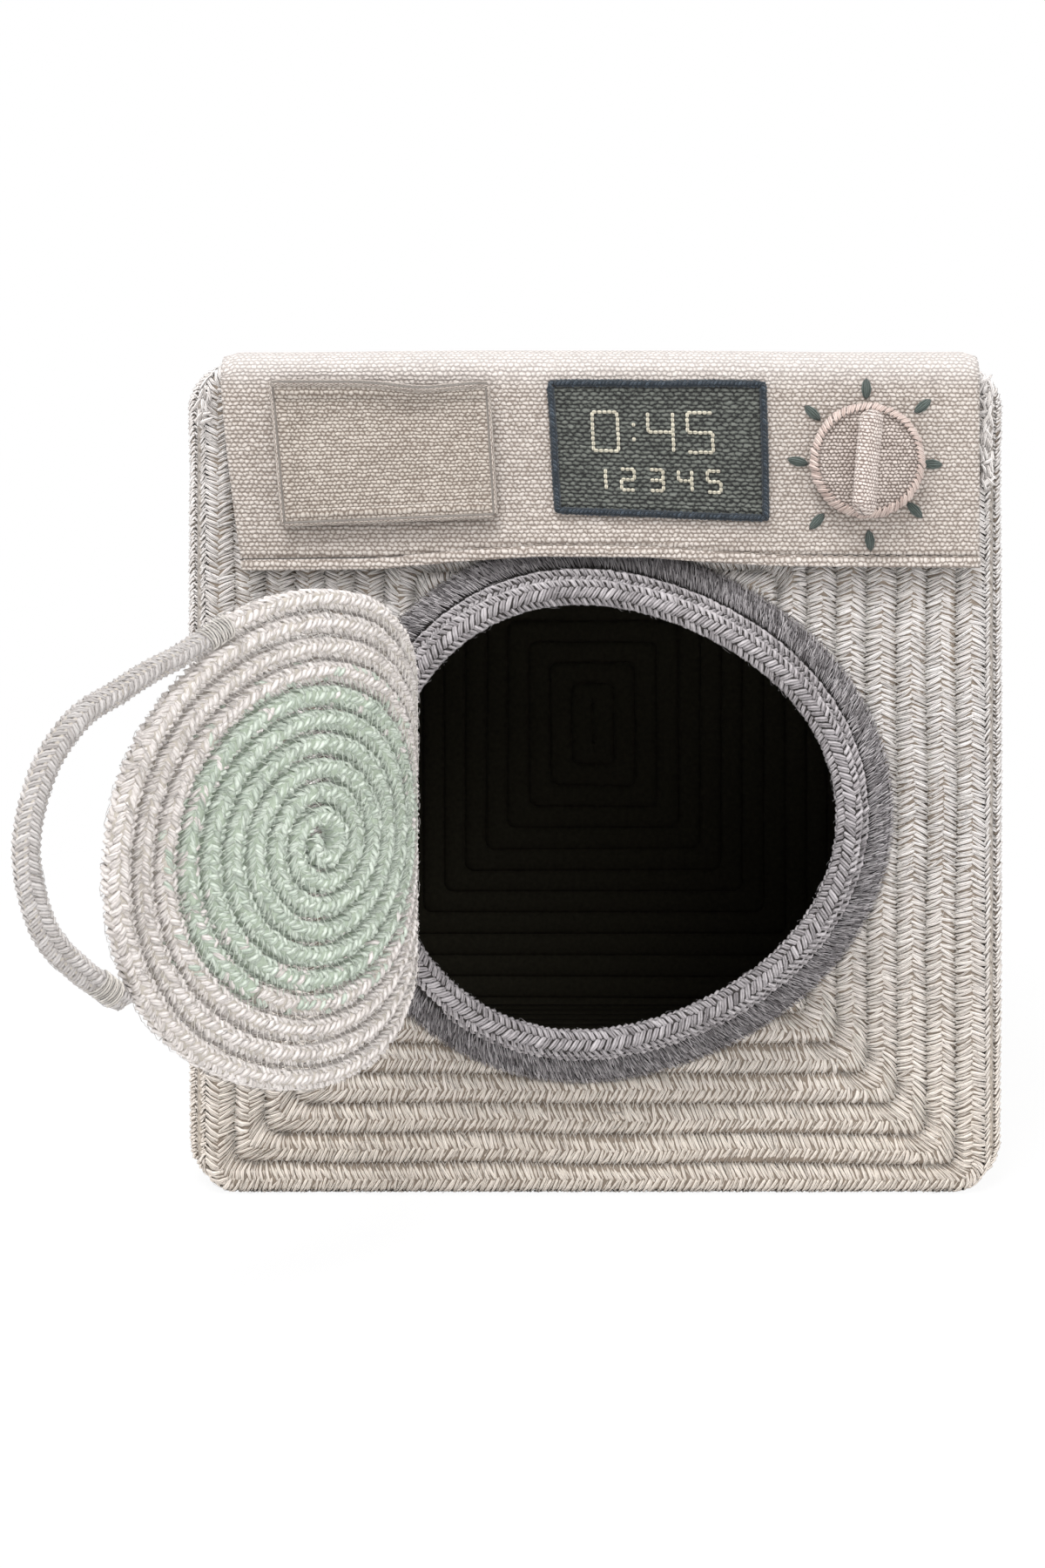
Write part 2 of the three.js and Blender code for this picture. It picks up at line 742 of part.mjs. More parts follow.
whipStitch("handle_stitch_upper", coilEnd.point, coilTangent, coilEnd.outward);
const handleFoot = handlePoints[handlePoints.length - 1];
const handleFootAlong = handleFoot.clone().sub(handlePoints[handlePoints.length - 2]).normalize();
const handleFootAcross = new THREE.Vector3(-handleFootAlong.z, 0, handleFootAlong.x);
const footMiddle = handleFoot.clone().addScaledVector(handleFootAlong, -whipPasses * whipPitch / 2);
whipStitch("handle_stitch_lower", footMiddle, handleFootAlong, handleFootAcross);

// Threads that hold the door to the collar: over the collar's rope, out to the hinge line and back

// The place on the collar's front row that lies at a height, on the side of the door's edge
function lipPlaceAt(height) {
  const search = { from: 0.3, span: 0.4, steps: 400 };
  let best = mouthPoint(search.from, collarRope / 2, out(collarLipOut));
  for (let i = 1; i <= search.steps; i += 1) {
    const turn = search.from + search.span * i / search.steps;
    const place = mouthPoint(turn, collarRope / 2, out(collarLipOut));
    if (Math.abs(place.point.z - height) < Math.abs(best.point.z - height)) {
      best = place;
    }
  }
  return best;
}

for (let k = 0; k < hingeStitchCount; k += 1) {
  const height = mouthZ + hingeStitchFirst + k * hingeStitchRise;
  const { point, outward } = lipPlaceAt(height);
  const side = Math.sign((hingeX - point.x) * outward.x);
  const along = new THREE.Vector3(outward.z, 0, -outward.x);
  const reach = collarRope / 2 + 2 * seatGap + hingeThread / 2;
  const overLip = (degrees, shift) => point.clone()
    .addScaledVector(outward, side * reach * Math.cos(rad(degrees)))
    .addScaledVector(forwardY, reach * Math.sin(rad(degrees)))
    .addScaledVector(along, shift);
  const tipOut = hingeOut + hingeTipRise;
  const points = [
    ...hingeHug.map((degrees) => overLip(degrees, 0)),
    new THREE.Vector3(hingeX, out(tipOut - hingeThreadPair), height),
    new THREE.Vector3(hingeX, out(tipOut), height + hingeThreadPair / 2),
    new THREE.Vector3(hingeX, out(tipOut - hingeThreadPair), height + hingeThreadPair),
    ...hingeHug.toReversed().map((degrees) => overLip(degrees, hingeThreadPair)),
  ];
  const stitchLoop = threadAlong(points, hingeThread, fine.hingeThreadSteps);
  addPiece(`hinge_stitch_${k + 1}`, stitchLoop, finish.creamThread);
}

export default machine;
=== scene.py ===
# A toy washing machine sewn from wound cotton rope, with a soft rope door and a cloth control flap.
# Sizes here are in millimetres and become metres when a mesh is made. The front faces -Y.
import math
import bpy
import numpy as np
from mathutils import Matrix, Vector


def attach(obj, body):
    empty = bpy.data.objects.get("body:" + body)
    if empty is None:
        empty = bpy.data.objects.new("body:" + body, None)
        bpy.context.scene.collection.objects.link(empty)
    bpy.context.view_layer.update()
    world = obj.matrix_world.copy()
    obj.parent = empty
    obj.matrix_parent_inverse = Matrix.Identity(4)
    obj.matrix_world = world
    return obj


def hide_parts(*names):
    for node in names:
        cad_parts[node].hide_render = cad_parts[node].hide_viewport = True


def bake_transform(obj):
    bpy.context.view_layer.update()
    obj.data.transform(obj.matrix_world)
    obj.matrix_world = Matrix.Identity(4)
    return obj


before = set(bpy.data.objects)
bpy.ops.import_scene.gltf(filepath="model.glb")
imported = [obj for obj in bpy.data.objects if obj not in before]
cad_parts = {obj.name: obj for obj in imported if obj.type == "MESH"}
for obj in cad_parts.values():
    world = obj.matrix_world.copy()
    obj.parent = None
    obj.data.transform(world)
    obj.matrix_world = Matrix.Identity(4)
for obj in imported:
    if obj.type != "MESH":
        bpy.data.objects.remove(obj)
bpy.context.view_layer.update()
scene = bpy.context.scene
scene.view_settings.view_transform = "Standard"
mm = 0.001
frontPlane = -150
rng = np.random.default_rng(11)
print("frame loaded")

shot = {
    "place": (-2.8, -850, 227),
    "lens": 42.7,
    "shift": (-0.0417, -0.121),
}
cameraData = bpy.data.cameras.new("camera")
cameraData.lens = shot["lens"]
cameraData.sensor_width = 36
cameraData.shift_x, cameraData.shift_y = shot["shift"]
cameraData.clip_start = 0.01
cameraData.clip_end = 50
camera = bpy.data.objects.new("camera", cameraData)
camera.location = [value * mm for value in shot["place"]]
camera.rotation_euler = (math.pi / 2, 0, 0)
scene.collection.objects.link(camera)
scene.camera = camera


# Colours as they look on a screen, 0 to 255, made linear
def tone(red, green, blue):
    values = []
    for value in (red, green, blue):
        share = value / 255
        values.append(share / 12.92 if share <= 0.04045 else ((share + 0.055) / 1.055) ** 2.4)
    return (*values, 1)


class Wire:
    # a socket that takes Python's operators, each of which adds a Math node
    def __init__(self, recipe, socket):
        self.recipe = recipe
        self.socket = socket

    def math(self, operation, *others):
        sockets = {0: self}
        for place, other in enumerate(others):
            sockets[place + 1] = other
        return self.recipe.add("Math", {"operation": operation}, sockets)

    def __add__(self, other):
        return self.math("ADD", other)

    def __sub__(self, other):
        return self.math("SUBTRACT", other)

    def __mul__(self, other):
        return self.math("MULTIPLY", other)

    def __truediv__(self, other):
        return self.math("DIVIDE", other)

    def __rsub__(self, other):
        return self.recipe.add("Math", {"operation": "SUBTRACT"}, {0: other, 1: self})

    def clamped(self):
        return self.math("MAXIMUM", 0.0).math("MINIMUM", 1.0)

    __radd__ = __add__
    __rmul__ = __mul__


class Recipe:
    # a material and the one way to add a node to it
    def __init__(self, name, roughness=0.95, sheen=0.0):
        self.material = bpy.data.materials.new(name)
        self.material.use_nodes = True
        self.nodes = self.material.node_tree.nodes
        self.links = self.material.node_tree.links
        self.nodes.clear()
        self.shader = self.nodes.new("ShaderNodeBsdfPrincipled")
        self.shader.inputs["Roughness"].default_value = roughness
        self.shader.inputs["Specular IOR Level"].default_value = 0.2
        self.shader.inputs["Sheen Weight"].default_value = sheen
        self.shader.inputs["Sheen Roughness"].default_value = 0.6
        end = self.nodes.new("ShaderNodeOutputMaterial")
        self.links.new(self.shader.outputs[0], end.inputs[0])

    def add(self, kind, settings, sockets, output=0):
        node = self.nodes.new("ShaderNode" + kind)
        for key, value in settings.items():
            if key == "stops":
                while len(node.color_ramp.elements) < len(value):
                    node.color_ramp.elements.new(0.5)
                for element, (place, colour) in zip(node.color_ramp.elements, value):
                    element.position = place
                    element.color = colour
            else:
                setattr(node, key, value)
        for key, value in sockets.items():
            if isinstance(value, Wire):
                self.links.new(value.socket, node.inputs[key])
            else:
                node.inputs[key].default_value = value
        return Wire(self, node.outputs[output])

    def mix(self, share, first, second, blend="MIX"):
        settings = {"data_type": "RGBA", "blend_type": blend}
        return self.add("Mix", settings, {0: share, 6: first, 7: second}, 2)

    def noise(self, place, scale, detail=2.0, rough=0.5, stretch=None):
        if stretch:
            place = self.add("Mapping", {}, {"Vector": place, "Scale": stretch})
        sockets = {"Vector": place, "Scale": scale, "Detail": detail, "Roughness": rough}
        return self.add("TexNoise", {}, sockets)

    def paint(self, colour):
        self.links.new(colour.socket, self.shader.inputs["Base Color"])

    def raiseBy(self, height, strength, distance):
        bump = self.add("Bump", {}, {"Strength": strength, "Distance": distance * mm, "Height": height})
        self.links.new(bump.socket, self.shader.inputs["Normal"])

    def objectPlace(self):
        return self.add("TexCoord", {}, {}, "Object")

    def uvPlace(self):
        return self.add("UVMap", {}, {})

    def part(self, place, axis):
        return self.add("SeparateXYZ", {}, {0: place}, axis)

    def value(self, name):
        return self.add("Attribute", {"attribute_name": name}, {}, "Fac")


# One look for everything spun from yarn. The mesh gives each strand its own tint, and its UV runs along it
def yarnLook(name, light, dark, fibre=0.5, spread=0.5, ply=0.8, floorBounce=0.0):
    look = Recipe(name, sheen=0.15)
    fibres = look.noise(look.uvPlace(), 1.0, 2.0, 0.65, stretch=(0.5, 3.0, 1.0))
    across = look.part(look.uvPlace(), 1)
    plies = ((across + (fibres - 0.5) * 0.4) * math.pi).math("SINE").math("ABSOLUTE")
    tint = look.value("tint") * spread
    cloud = look.noise(look.objectPlace(), 22.0, 2.0)
    share = (fibres - 0.5) * fibre * 2.4 + (plies - 0.6) * ply + tint + (cloud - 0.5) * 0.5 + 0.5
    # Below 14 cm the colour is lifted and warmed: painted bounce light from the floor
    low = look.part(look.objectPlace(), 2)
    paintedBounceLight = ((0.14 - low) * 8.3).clamped() * floorBounce
    shades = look.add("ValToRGB", {"stops": [(0.0, dark), (1.0, light)]}, {0: share + paintedBounceLight * 0.3})
    look.paint(look.mix(paintedBounceLight, shades, tone(255, 249, 240), "MULTIPLY"))
    look.raiseBy(plies * 0.7 + fibres * 0.6, 1.0, 0.3)
    return look.material


# the cream rope's yarn takes the painted bounce light near the floor
creamYarn = yarnLook("creamRopeYarn", tone(235, 231, 229), tone(192, 185, 180), floorBounce=1.0)
doorYarn = yarnLook("doorRopeYarn", tone(226, 220, 217), tone(187, 180, 175))
# the handle's yarn is darker than the door's: painted shade for a handle that faces the lamps
handleShadedYarn = yarnLook("handleRopeShadedYarn", tone(194, 190, 188), tone(151, 145, 142))
mintYarn = yarnLook("mintRopeYarn", tone(204, 212, 201), tone(159, 170, 157))
greyYarn = yarnLook("greyRopeYarn", tone(186, 181, 183), tone(106, 101, 103))
bandYarn = yarnLook("greyBindingYarn", tone(214, 209, 211), tone(106, 101, 103), spread=0.8)
creamThread = yarnLook("creamSewingThread", tone(236, 232, 226), tone(208, 201, 193), fibre=0.2, ply=0.2)
mintThread = yarnLook("mintSewingThread", tone(214, 222, 209), tone(184, 194, 178), fibre=0.2, ply=0.2)


# Plain rope cores, seen in the gaps between strands: a fine noise darkens them to under half, painted shade
# of those gaps
def coreLook(name, colour):
    look = Recipe(name)
    weave = look.noise(look.objectPlace(), 420.0, 2.0, 0.6)
    shadeFleckTone = tuple(value * 0.45 for value in colour[:3]) + (1,)
    look.paint(look.mix(weave, shadeFleckTone, colour))
    look.raiseBy(weave, 0.6, 0.5)
    return look.material


# the cream and grey cores are darker than their yarn: painted shade for the gaps and the mouth's cut edge
creamShadeCore = coreLook("creamRopeShadeCore", tone(154, 141, 128))
doorCore = coreLook("doorRopeCore", tone(204, 196, 186))
mintCore = coreLook("mintRopeCore", tone(182, 194, 176))
greyShadeCore = coreLook("greyRopeShadeCore", tone(66, 62, 61))
# near-black rope for the faces towards the inside: painted shade
paintedShadeCore = coreLook("paintedShadeInsideRope", tone(74, 70, 58))
print("rope looks made")


def startAlone(made=None):
    if bpy.context.object and bpy.context.object.mode != "OBJECT":
        bpy.ops.object.mode_set(mode="OBJECT")
    bpy.ops.object.select_all(action="DESELECT")
    if made:
        made.select_set(True)
        bpy.context.view_layer.objects.active = made


def faceOutwards(made):
    startAlone(made)
    bpy.ops.object.mode_set(mode="EDIT")
    bpy.ops.mesh.select_all(action="SELECT")
    bpy.ops.mesh.normals_make_consistent(inside=False)
    bpy.ops.object.mode_set(mode="OBJECT")


# A strand is modelled once: a slim rounded body along X, flat below
def modelStrand(sides, rings, fullness=0.0):
    startAlone()
    bpy.ops.mesh.primitive_uv_sphere_add(segments=sides, ring_count=rings, radius=1)
    bpy.ops.object.mode_set(mode="EDIT")
    bpy.ops.mesh.select_all(action="SELECT")
    bpy.ops.transform.rotate(value=math.pi / 2, orient_axis="Y", center_override=(0, 0, 0))
    bpy.ops.mesh.quads_convert_to_tris()
    bpy.ops.mesh.normals_make_consistent(inside=False)
    bpy.ops.object.mode_set(mode="OBJECT")
    made = bpy.context.object
    corners = np.array([v.co for v in made.data.vertices], float)
    faces = np.array([list(p.vertices) for p in made.data.polygons], int)
    bpy.data.objects.remove(made)
    # Blender lists the triangles in another order each run, so they get a fixed one
    first = faces.argmin(1)[:, None]
    faces = np.take_along_axis(faces, (first + np.arange(3)) % 3, 1)
    faces = faces[np.lexsort(faces.T[::-1])]
    turn = 0.5 * math.pi - math.atan2(corners[1, 2], corners[1, 1])
    y, z = corners[:, 1].copy(), corners[:, 2].copy()
    corners[:, 1] = y * math.cos(turn) - z * math.sin(turn)
    corners[:, 2] = y * math.sin(turn) + z * math.cos(turn)
    corners[:, 2] = np.where(corners[:, 2] < 0, corners[:, 2] * 0.5, corners[:, 2])
    fuller = 1 + fullness * (1 - np.abs(2 * np.abs(corners[:, 0]) - 1))
    return {"corners": corners * np.stack([1 + 0 * fuller, fuller, fuller], -1), "faces": faces}


fineStrand = modelStrand(6, 4)
plainStrand = modelStrand(5, 4)
yarnStrand = modelStrand(4, 4, 0.42)
coarseStrand = modelStrand(4, 3, 0.12)
stitchStrand = modelStrand(4, 2)


def addMesh(name, corners, faces, look, uv=None, tint=None):
    mesh = bpy.data.meshes.new(name)
    if isinstance(faces, np.ndarray):
        count, size = faces.shape
        mesh.vertices.add(len(corners))
        mesh.vertices.foreach_set("co", (corners * mm).astype(np.float32).ravel())
        mesh.loops.add(count * size)
        mesh.loops.foreach_set("vertex_index", faces.astype(np.int32).ravel())
        mesh.polygons.add(count)
        mesh.polygons.foreach_set("loop_start", np.arange(0, count * size, size, dtype=np.int32))
        mesh.update(calc_edges=True)
    else:
        mesh.from_pydata((np.array(corners) * mm).tolist(), [], faces)
    if uv is not None:
        places = np.zeros(len(mesh.loops), np.int32)
        mesh.loops.foreach_get("vertex_index", places)
        layer = mesh.uv_layers.new(name="UVMap")
        layer.data.foreach_set("uv", uv[places].astype(np.float32).ravel())
    if tint is not None:
        mesh.attributes.new("tint", "FLOAT", "POINT").data.foreach_set("value", tint.astype(np.float32))
    mesh.shade_smooth()
    for one in look if isinstance(look, list) else [look]:
        mesh.materials.append(one)
    made = bpy.data.objects.new(name, mesh)
    scene.collection.objects.link(made)
    return made


class Bundle:
    # strands, cores and threads gathered into one mesh
    def __init__(self):
        self.corners, self.faces, self.uv, self.tint, self.slots, self.size = [], [], [], [], [], 0

    def take(self, corners, faces, uv, tint, slot=0):
        self.corners.append(corners)
        self.faces.append(faces + self.size)
        self.uv.append(uv)
        self.tint.append(tint)
        self.slots.append(np.full(len(faces), slot) if np.isscalar(slot) else slot)
        self.size += len(corners)

    # a part without yarn of its own, such as a rope's core
    def plain(self, corners, faces, slot):
        self.take(corners, faces, np.zeros((len(corners), 2)), np.zeros(len(corners)), slot)

    # one strand placed by itself, with its own tint; its UV starts somewhere up to reach
    def strand(self, strand, corners, along, reach, spread):
        uv = np.stack([along + rng.uniform(0, reach), strand["corners"][:, 1]], -1)
        self.take(corners, strand["faces"][:, ::-1], uv, np.full(len(corners), rng.normal(0, spread)))

    def make(self, name, looks):
        made = addMesh(
            name, np.concatenate(self.corners), np.concatenate(self.faces), looks,
            np.concatenate(self.uv), np.concatenate(self.tint),
        )
        slots = np.concatenate(self.slots).astype(np.int32)
        made.data.polygons.foreach_set("material_index", slots)
        made.data.update()
        return made


# The braid: columns of short strands round the rope, every other column slanting the other way.
# It gives each strand corner's angle round the rope, distance along it and distance from its middle
def layBraid(strand, rope, columns, length, looped=False, keep=None):
    count = max(1, round(length / rope["spacing"]))
    spacing = length / count
    columnTurn = 2 * math.pi / rope["columns"]
    arc = columnTurn * rope["radius"]
    rise = spacing * rope["rise"]
    angle, along, slant = [], [], []
    for column in columns:
        last = count if looped or column % 2 == 0 else count - 1
        angle.append(np.full(last, column * columnTurn + math.radians(rope.get("roll", 0))))
        along.append((np.arange(last) + 0.25 + 0.5 * (column % 2)) * spacing)
        slant.append(np.full(last, 1.0 if column % 2 else -1.0))
    angle, along, slant = np.concatenate(angle), np.concatenate(along), np.concatenate(slant)
    if keep is not None:
        kept = keep(along)
        angle, along, slant = angle[kept], along[kept], slant[kept]
    if len(angle) == 0:
        return None
    yarns = rope.get("yarns", 1)
    order = np.repeat(np.arange(len(angle)), yarns)
    angle, slant = angle[order], slant[order]
    whichYarn = np.tile(np.arange(yarns), len(order) // yarns)
    along = along[order] + (whichYarn - (yarns - 1) / 2) * spacing * 0.92 / yarns
    total = len(order)
    shape = strand["corners"]
    x, y, z = shape[:, 0], shape[:, 1], shape[:, 2]
    reach = math.hypot(arc, rise)
    scatter = rope.get("scatter", 0.07)
    halfLong = (reach / 2 * (1 + rope["overrun"]) * (1 + rng.uniform(-0.16, 0.1, total)))[:, None]
    halfWide = spacing * arc / reach * rope["fill"] / 2 / yarns
    wide = halfWide * (1 + rng.uniform(-0.16, 0.16, total))[:, None]
    lean = np.arctan2(slant * rise, arc) + rng.normal(0, scatter, total)
    cosine, sine = np.cos(lean)[:, None], np.sin(lean)[:, None]
    second = whichYarn * rope.get("lower", 0.0)
    lift = -rope["loose"] * rng.uniform(0, 1, total)[:, None] - second[:, None]
    astray = rng.normal(0, scatter * 1.6, (2, total, 1))
    around = x * halfLong * cosine - y * wide * sine + astray[0]
    forward = x * halfLong * sine + y * wide * cosine + astray[1]
    outward = rope["radius"] - rope["thick"] * (1 - z) - rope["dip"] * x * x + lift
    uv = np.stack([x * halfLong + rng.uniform(0, 90, total)[:, None],
                   y + 2.0 * rng.integers(0, 40, total)[:, None]], -1)
    # the lower yarn of each pair is tinted darker: painted shade
    tint = np.repeat(np.clip(rng.normal(0, 0.35, total) - 0.7 * second, -1, 1), len(x))
    faces = (strand["faces"][None] + np.arange(total)[:, None, None] * len(x)).reshape(-1, 3)
    return {
        "angle": (angle[:, None] + around / rope["radius"]).ravel(),
        "along": (along[:, None] + forward).ravel(),
        "radial": outward.ravel() + 0 * around.ravel(),
        "uv": uv.reshape(-1, 2),
        "tint": tint,
        "faces": faces,
    }


# Short stitches across a groove: how far across it, along it and above its middle each corner lies
def layStitches(strand, length, sewing, keep=None):
    count = max(1, round(length / sewing["spacing"]))
    along = (np.arange(count) + 0.5) * length / count + rng.normal(0, 0.2, count)
    if keep is not None:
        along = along[keep(along)]
    total = len(along)
    if total == 0:
        return None
    shape = strand["corners"]
    x, y, z = shape[:, 0], shape[:, 1], shape[:, 2]
    side = np.where(np.arange(total) % 2, 1, -1) if sewing.get("zigzag") else np.ones(total)
    slant = sewing["slant"] * (side * (1 + rng.normal(0, 0.25, total)))[:, None]
    size = (1 + rng.uniform(-0.25, 0.25, total))[:, None]
    half = sewing["length"] / 2
    across = x * half * size
    forward = x * slant * half + y * sewing["thread"] / 2
    above = z * sewing["thread"] / 2 - sewing["dip"] * x * x + rng.normal(0, 0.08, total)[:, None]
    uv = np.stack([x * half + rng.uniform(0, 90, total)[:, None], y / 2 + 0.5 + 0 * across], -1)
    faces = (strand["faces"][None] + np.arange(total)[:, None, None] * len(x)).reshape(-1, 3)
    return {
        "across": across.ravel(),
        "along": (along[:, None] + forward).ravel(),
        "above": above.ravel(),
        "uv": uv.reshape(-1, 2),
        "tint": np.repeat(np.clip(rng.normal(0, 0.4, total), -1, 1), len(x)),
        "faces": faces,
    }


# A tube of rings, each ring a row of points; closed at its ends unless it is looped
def tubeFaces(ringCount, sides, looped=False):
    faces = []
    last = ringCount if looped else ringCount - 1
    for k in range(last):
        here, there = k * sides, (k + 1) % ringCount * sides
        for i in range(sides):
            j = (i + 1) % sides
            faces.append((here + i, here + j, there + j))
            faces.append((here + i, there + j, there + i))
    if not looped:
        for i in range(1, sides - 1):
            faces.append((0, i + 1, i))
            end = (ringCount - 1) * sides
            faces.append((end, end + i, end + i + 1))
    return np.array(faces, int)


def smooth(share):
    share = np.clip(share, 0, 1)
    return share * share * (3 - 2 * share)


def ramp(value, start, end):
    return smooth((value - start) / (end - start))


# Gentle waves over a surface, for cloth and for rows that wander
def waves(x, z, size, scale, seed):
    total = 0
    local = np.random.default_rng(seed)
    for _ in range(7):
        angle, phase = local.uniform(0, math.pi), local.uniform(0, 6.3)
        wave = scale * local.uniform(0.6, 1.8)
        total = total + np.sin((x * math.cos(angle) + z * math.sin(angle)) / wave + phase) / 7
    return total * size


# Round-cornered rectangles, from the middle of the right side upwards and round.
# ringShare says in which of eight stretches a distance falls, ringAt gives the point there
def ringShare(halfWide, low, high, corner, along):
    upright, level, bend = high - low - 2 * corner, 2 * (halfWide - corner), math.pi / 2 * corner
    sides = np.array([upright, bend, level, bend])
    ends = np.concatenate([[0], np.cumsum(np.tile(np.maximum(sides, 1e-6), 2))])
    along = np.mod(along, ends[-1])
    stretch = np.clip(np.searchsorted(ends, along, side="right") - 1, 0, 7)
    return stretch, (along - ends[stretch]) / (ends[stretch + 1] - ends[stretch])


def ringLength(halfWide, low, high, corner):
    return 2 * (high - low - 2 * corner) + 4 * (halfWide - corner) + 2 * math.pi * corner


# Beside a row, places keep their distance from the middle of a side, except close to its corners
easeReach = 13.0


def cornerEase(stretch, share, row, here):
    upright = stretch % 4 == 0
    before = np.where(upright, row[2] - row[1] - 2 * row[3], 2 * (row[0] - row[3]))
    after = np.where(upright, here[2] - here[1] - 2 * here[3], 2 * (here[0] - here[3]))
    spot = (share - 0.5) * before
    ease = np.minimum(easeReach, before / 2)
    near = smooth((np.abs(spot) - (before / 2 - ease)) / np.maximum(ease, 1e-6))
    moved = spot + np.sign(spot) * (after - before) / 2 * near
    return np.where(stretch % 2 == 1, share, moved / np.maximum(after, 1e-6) + 0.5)


def ringAt(halfWide, low, high, corner, stretch, share):
    quarter = stretch // 2
    curved = stretch % 2 == 1
    turn = (quarter + np.where(curved, share, 0)) * math.pi / 2
    signX = np.array([1, -1, -1, 1])[quarter]
    signZ = np.array([1, 1, -1, -1])[quarter]
    middle, halfHigh = (low + high) / 2, (high - low) / 2
    x = signX * (halfWide - corner) + corner * np.cos(turn)
    z = middle + signZ * (halfHigh - corner) + corner * np.sin(turn)
    back = np.where(curved, 0, 1 - share)
    runX = np.array([0, 1, 0, -1])[quarter] * 2 * (halfWide - corner)
    runZ = np.array([-1, 0, 1, 0])[quarter] * 2 * (halfHigh - corner)
    return x + back * runX, z + back * runZ


# A row of the body shows two columns of the braid, each as wide as the rope's radius
bodyRope = {
    "radius": 5.7, "spacing": 2.5, "columns": 2 * math.pi, "rise": 1.05, "overrun": 0.36, "fill": 1.1,
    "thick": 0.75, "dip": 0.8, "loose": 0.4, "lower": 0.45, "roll": math.degrees(0.5), "yarns": 2,
    "scatter": 0.1, "sideHeight": 0.62, "grooveHeight": 0.48,
}
# the back, and the wall behind its first rows, have slightly longer strands
wideSpacing = 2.75
bodyHair = dict(bodyRope, yarns=1, fill=0.1, thick=0.1, dip=0.1, loose=-0.3, scatter=0.45, overrun=0.1)
# the plain rope's section as (across, up), with a web that reaches the next rows
coreSection = [
    (-5.8, 1.4), (-4.3, 2.9), (-3.0, 3.7), (-1.2, 4.2), (1.2, 4.2), (3.0, 3.7), (4.3, 2.9), (5.8, 1.4),
    (5.8, -2.0), (3.7, -3.4), (0, -3.8), (-3.7, -3.4), (-5.8, -2.0),
]


def coreRing(pitch, row, rows):
    section = np.array(coreSection)
    across = section[:, 0] * pitch / 11.4
    if row == 0:
        across = np.maximum(across, -4.1)
    if row == rows - 1:
        across = np.minimum(across, 4.1)
    return across, section[:, 1]


# Place across a row and height above its middle. Ropes press flat where their sides stay high;
# beyond an outer side the braid turns down towards the next face
def onRow(laid, low, outerSide=0, flare=0.0):
    radius = bodyRope["radius"]
    u = laid["angle"] * radius
    beyond = np.maximum(np.abs(u) - radius, 0)
    level = np.cos(np.minimum(np.abs(u) / radius, 1) * math.pi / 2) ** 0.8
    outer = (np.sign(u) == outerSide) & (beyond > 0)
    turned = np.where(outer, np.minimum(beyond / 2, 1), 0)
    depth = radius - laid["radial"]
    across = np.where(outer, np.sign(u) * (radius + flare * beyond - depth * turned), u)
    height = radius * (low + (1 - low) * level) - np.where(outer, 0.85, 0.5) * beyond
    return across, height - depth * (1 - turned)


# The outline of the collar's inner edge, and places a distance outside it
mouth = {"radius": 79.2, "x": 3, "z": 145, "wide": 0.032, "pull": 0.034}


def mouthPlace(turns, offset):
    def rim(angle):
        r = mouth["radius"] * (1 + mouth["wide"] * np.cos(2 * angle) + mouth["pull"] * np.cos(3 * angle))
        return mouth["x"] + r * np.cos(angle), mouth["z"] + r * np.sin(angle)
    angle = np.asarray(turns) * 2 * math.pi
    x0, z0 = rim(angle - 0.01)
    x1, z1 = rim(angle + 0.01)
    run = np.hypot(x1 - x0, z1 - z0)
    outX, outZ = (z1 - z0) / run, -(x1 - x0) / run
    x, z = rim(angle)
    return x + outX * offset, z + outZ * offset, outX, outZ


mouthTable = mouthPlace(np.arange(720) / 720, 0)


def mouthOffset(x, z):
    away = np.hypot(x[:, None] - mouthTable[0][None], z[:, None] - mouthTable[1][None])
    nearest = away.argmin(1)
    rimX, rimZ, outX, outZ = [column[nearest] for column in mouthTable]
    side = (x - rimX) * outX + (z - rimZ) * outZ
    return away.min(1) * np.sign(side)


# Front and back mats: one rope laid in shrinking rectangles
mat = {
    "halfWide": 148, "low": 0.2, "high": 315.3, "corner": 12, "leastCorner": 4.5, "rows": 13,
    "thickness": 9.7, "back": 140.3, "edgeFall": 1.6, "holeOffset": 16.0, "strandOffset": 17.0,
    "hiddenAbove": 252, "hiddenHalfWide": 133,
}
mat["pitch"] = mat["halfWide"] / mat["rows"]
matSewing = {"spacing": 1.5, "length": 3.6, "thread": 0.34, "slant": 0.42, "dip": 0.1, "zigzag": True}


def matRing(inset):
    corner = np.maximum(mat["corner"] - inset, mat["leastCorner"])
    corner = np.minimum(corner, mat["halfWide"] - inset - 0.1)
    return mat["halfWide"] - inset, mat["low"] + inset, mat["high"] - inset, corner


def matPoints(row, lateral, height, along, facing):
    inset = (row + 0.5) * mat["pitch"]
    stretch, share = ringShare(*matRing(inset), along)
    here = matRing(inset + lateral)
    x, z = ringAt(*here, stretch, cornerEase(stretch, share, matRing(inset), here))
    fall = mat["edgeFall"] * np.maximum(0, 1 - (inset + lateral) / (2 * mat["pitch"])) ** 2
    depth = mat["thickness"] - bodyRope["radius"] - fall + height
    wander = smooth((inset + lateral - 3) / 9)
    aside, upward = waves(x, z, 1.0, 14, 41) * wander, waves(x, z, 1.7, 17, 42) * wander
    return np.stack([x + aside, facing * (mat["back"] + depth), z + upward], -1)


def matLength(row):
    return ringLength(*matRing((row + 0.5) * mat["pitch"]))


def turnedRound(faces, facing):
    return faces if facing < 0 else faces[:, ::-1]


# The level rows at the bottom of the front are rounder, with deeper grooves
def matLow(row, along, facing):
    stretch, share = ringShare(*matRing((row + 0.5) * mat["pitch"]), along)
    low = np.where(stretch == 6, 1.0, np.where(stretch == 5, share, np.where(stretch == 7, 1 - share, 0.0)))
    return bodyRope["sideHeight"] + (bodyRope["grooveHeight"] - bodyRope["sideHeight"]) * low * (facing < 0)


